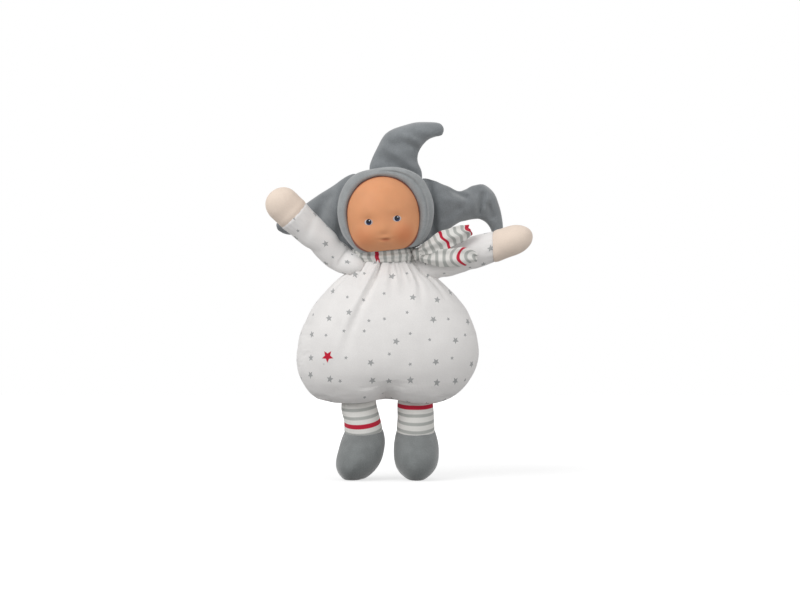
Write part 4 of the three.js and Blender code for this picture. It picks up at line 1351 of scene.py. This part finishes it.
def makeTail(name, knotPlace):
    form, tail = scarfShape["tail"], scarfShape[name]
    share = np.linspace(0, 1, form["rows"])
    rows = smoothKeys(tail["path"], share)
    middle = rows[:, :3] * np.array([1, -1, 1])
    ahead, up, out = lineFrame(np.gradient(middle, share, axis=0))
    turns, t, phase = roundTurns(form["sides"]), share[:, None], tail["phase"]
    c, s = np.cos(turns)[None, :], np.sin(turns)[None, :]
    half = rows[:, 3, None] * (1 + form["waist"] * np.sin(17 * t + phase))
    pleats = (form["pleat"][0] - form["pleat"][1] * t) * np.sin(4.6 * c + phase + 1.8 * t)
    crumple = form["crumple"] * np.sin(21 * t + 3 * c + phase) * fade(0.15, 0.6, t)
    mouth = form["mouth"] * np.sin(3 * turns + phase)[None, :] * fade(0.8, 1.0, t)  # the open end waves
    rings = ringsAlong(middle, (up, half * c), (out, rows[:, 4, None] * s + pleats + crumple), (ahead, mouth))
    along = lengthAlong(middle)
    curled = along[:, None] - tail["curl"] * c ** 2 * fade(0.3, 0.7, t)  # the print bends round the edges
    curled = curled + tail["slant"] * (c + 0.4 * np.sin(5 * c)) * fade(0.2, 0.5, t)
    cloth = np.stack([curled, form["round"] * turns[None, :] + 0 * curled], -1)
    piece = skin("scarf_" + name + "_tail_cloth", rings + knotPlace, cloth, caps=False)
    return thicken(piece, scarfShape["cloth"], -1), along[-1], ahead[0]


scarfBand = makeScarfBand()
bandStripes = stripedFinish("scarfBandStripes", 0, scarfShape["band"]["redAt"], **scarfShape["stripes"])
settle(scarfBand, bandStripes, "striped_jersey", ["scarf_neck_band"], "torso")
knotStripes = stripedFinish("scarfKnotStripes", 0, scarfShape["knot"]["redAt"], **scarfShape["stripes"])
settle(makeKnot(), knotStripes, "striped_jersey", ["scarf_knot"], "torso", fill=0.5)
knotPlace = leaned(np.array(scarfShape["knot"]["place"], float))
for name in ("upper", "lower"):
    tail, length, outwards = makeTail(name, knotPlace)
    bend = [(knotPlace + outwards * reach) * mm for reach in scarfShape["blend"]]
    edging = length - scarfShape[name]["rim"]
    stripes = stripedFinish(name + "TailStripes", 0, scarfShape[name]["redAt"], **scarfShape["stripes"],
                            accent=scarfShape["tailAccent"], rim=edging)
    settle(tail, stripes, "striped_jersey", ["scarf_" + name + "_tail"], "torso", name + "_tail", bend=bend)
print("scarf made")


# Inside the neck: its core and the gathering thread keep their solids

for name, material in (("neck_core", fibre), ("neck_gathering_thread", threadCotton)):
    solid = frame["nodes"][name]
    solid.data.materials.clear()
    solid.data.materials.append(material)


# Floor, light and camera

stageShape = {
    "floor": 3.0, "floorGlow": 0.68, "glowRange": (0.12, 0.5), "sky": 0.62,
    "floorShader": {"Base Color": (0.42, 0.42, 0.42, 1), "Roughness": 0.9, "Specular IOR Level": 0},
    "lens": 100, "sensor": 36, "across": 0.6272, "aim": (0.00192, 0.0, 0.140),
    "lamps": {
        "key": {"place": (-1.3, -1.15, 1.35), "size": 1.4, "power": 20.5},
        "fill": {"place": (1.2, -1.4, 0.4), "size": 1.3, "power": 7},
    },
}


def seenDirectly(tree):
    seen = newNode(tree, "LightPath").outputs
    mirrored = calc(tree, "MAXIMUM", seen["Is Glossy Ray"], seen["Is Transmission Ray"])
    return calc(tree, "MAXIMUM", seen["Is Camera Ray"], mirrored)


def makeFloor():
    half = stageShape["floor"] / 2
    mesh = bpy.data.meshes.new("floor")
    corners = [(-half, -half, 0), (half, -half, 0), (half, half, 0), (-half, half, 0)]
    mesh.from_pydata(corners, [], [(0, 1, 2, 3)])
    material, tree = newMaterial("paleFloor", stageShape["floorShader"])
    away = calcVector(tree, "LENGTH", newNode(tree, "NewGeometry").outputs["Position"])
    # white all over, with the doll's shadow kept
    level = ramp(tree, away, *stageShape["glowRange"], stageShape["floorGlow"], 1.0)
    glow = newNode(tree, "Emission")
    tree.links.new(times(tree, seenDirectly(tree), level), glow.inputs["Strength"])
    total = newNode(tree, "AddShader", tree.nodes["Principled BSDF"].outputs[0], glow.outputs[0])
    tree.links.new(total.outputs[0], tree.nodes["Material Output"].inputs["Surface"])
    mesh.materials.append(material)
    addObject("floor", mesh)


def makeSky():
    world = bpy.data.worlds.new("studio")
    bpy.context.scene.world = world
    world.use_nodes = True
    tree = world.node_tree
    sky = tree.nodes["Background"]
    sky.inputs["Color"].default_value = (1, 1, 1, 1)
    level = ramp(tree, seenDirectly(tree), 0.0, 1.0, stageShape["sky"], 1.0)
    tree.links.new(level, sky.inputs["Strength"])


def makeLamp(name, lamp):
    light = bpy.data.lights.new(name, "AREA")
    light.shape = "DISK"
    light.size = lamp["size"]
    light.energy = lamp["power"]
    holder = addObject(name, light)
    holder.location = lamp["place"]
    aim = Vector(stageShape["aim"]) - holder.location
    holder.rotation_euler = aim.to_track_quat("-Z", "Y").to_euler()


def makeCamera():
    lens = bpy.data.cameras.new("camera")
    lens.lens = stageShape["lens"]
    lens.sensor_width = stageShape["sensor"]
    lens.clip_start = 0.01
    camera = addObject("camera", lens)
    away = stageShape["across"] * stageShape["lens"] / stageShape["sensor"]
    camera.location = Vector(stageShape["aim"]) - Vector((0, away, 0))
    camera.rotation_euler = (quarterTurn, 0, 0)
    bpy.context.scene.camera = camera


makeFloor()
makeSky()
for name, lamp in stageShape["lamps"].items():
    makeLamp(name, lamp)
makeCamera()
bpy.context.scene.view_settings.view_transform = "Standard"
print("stage set")
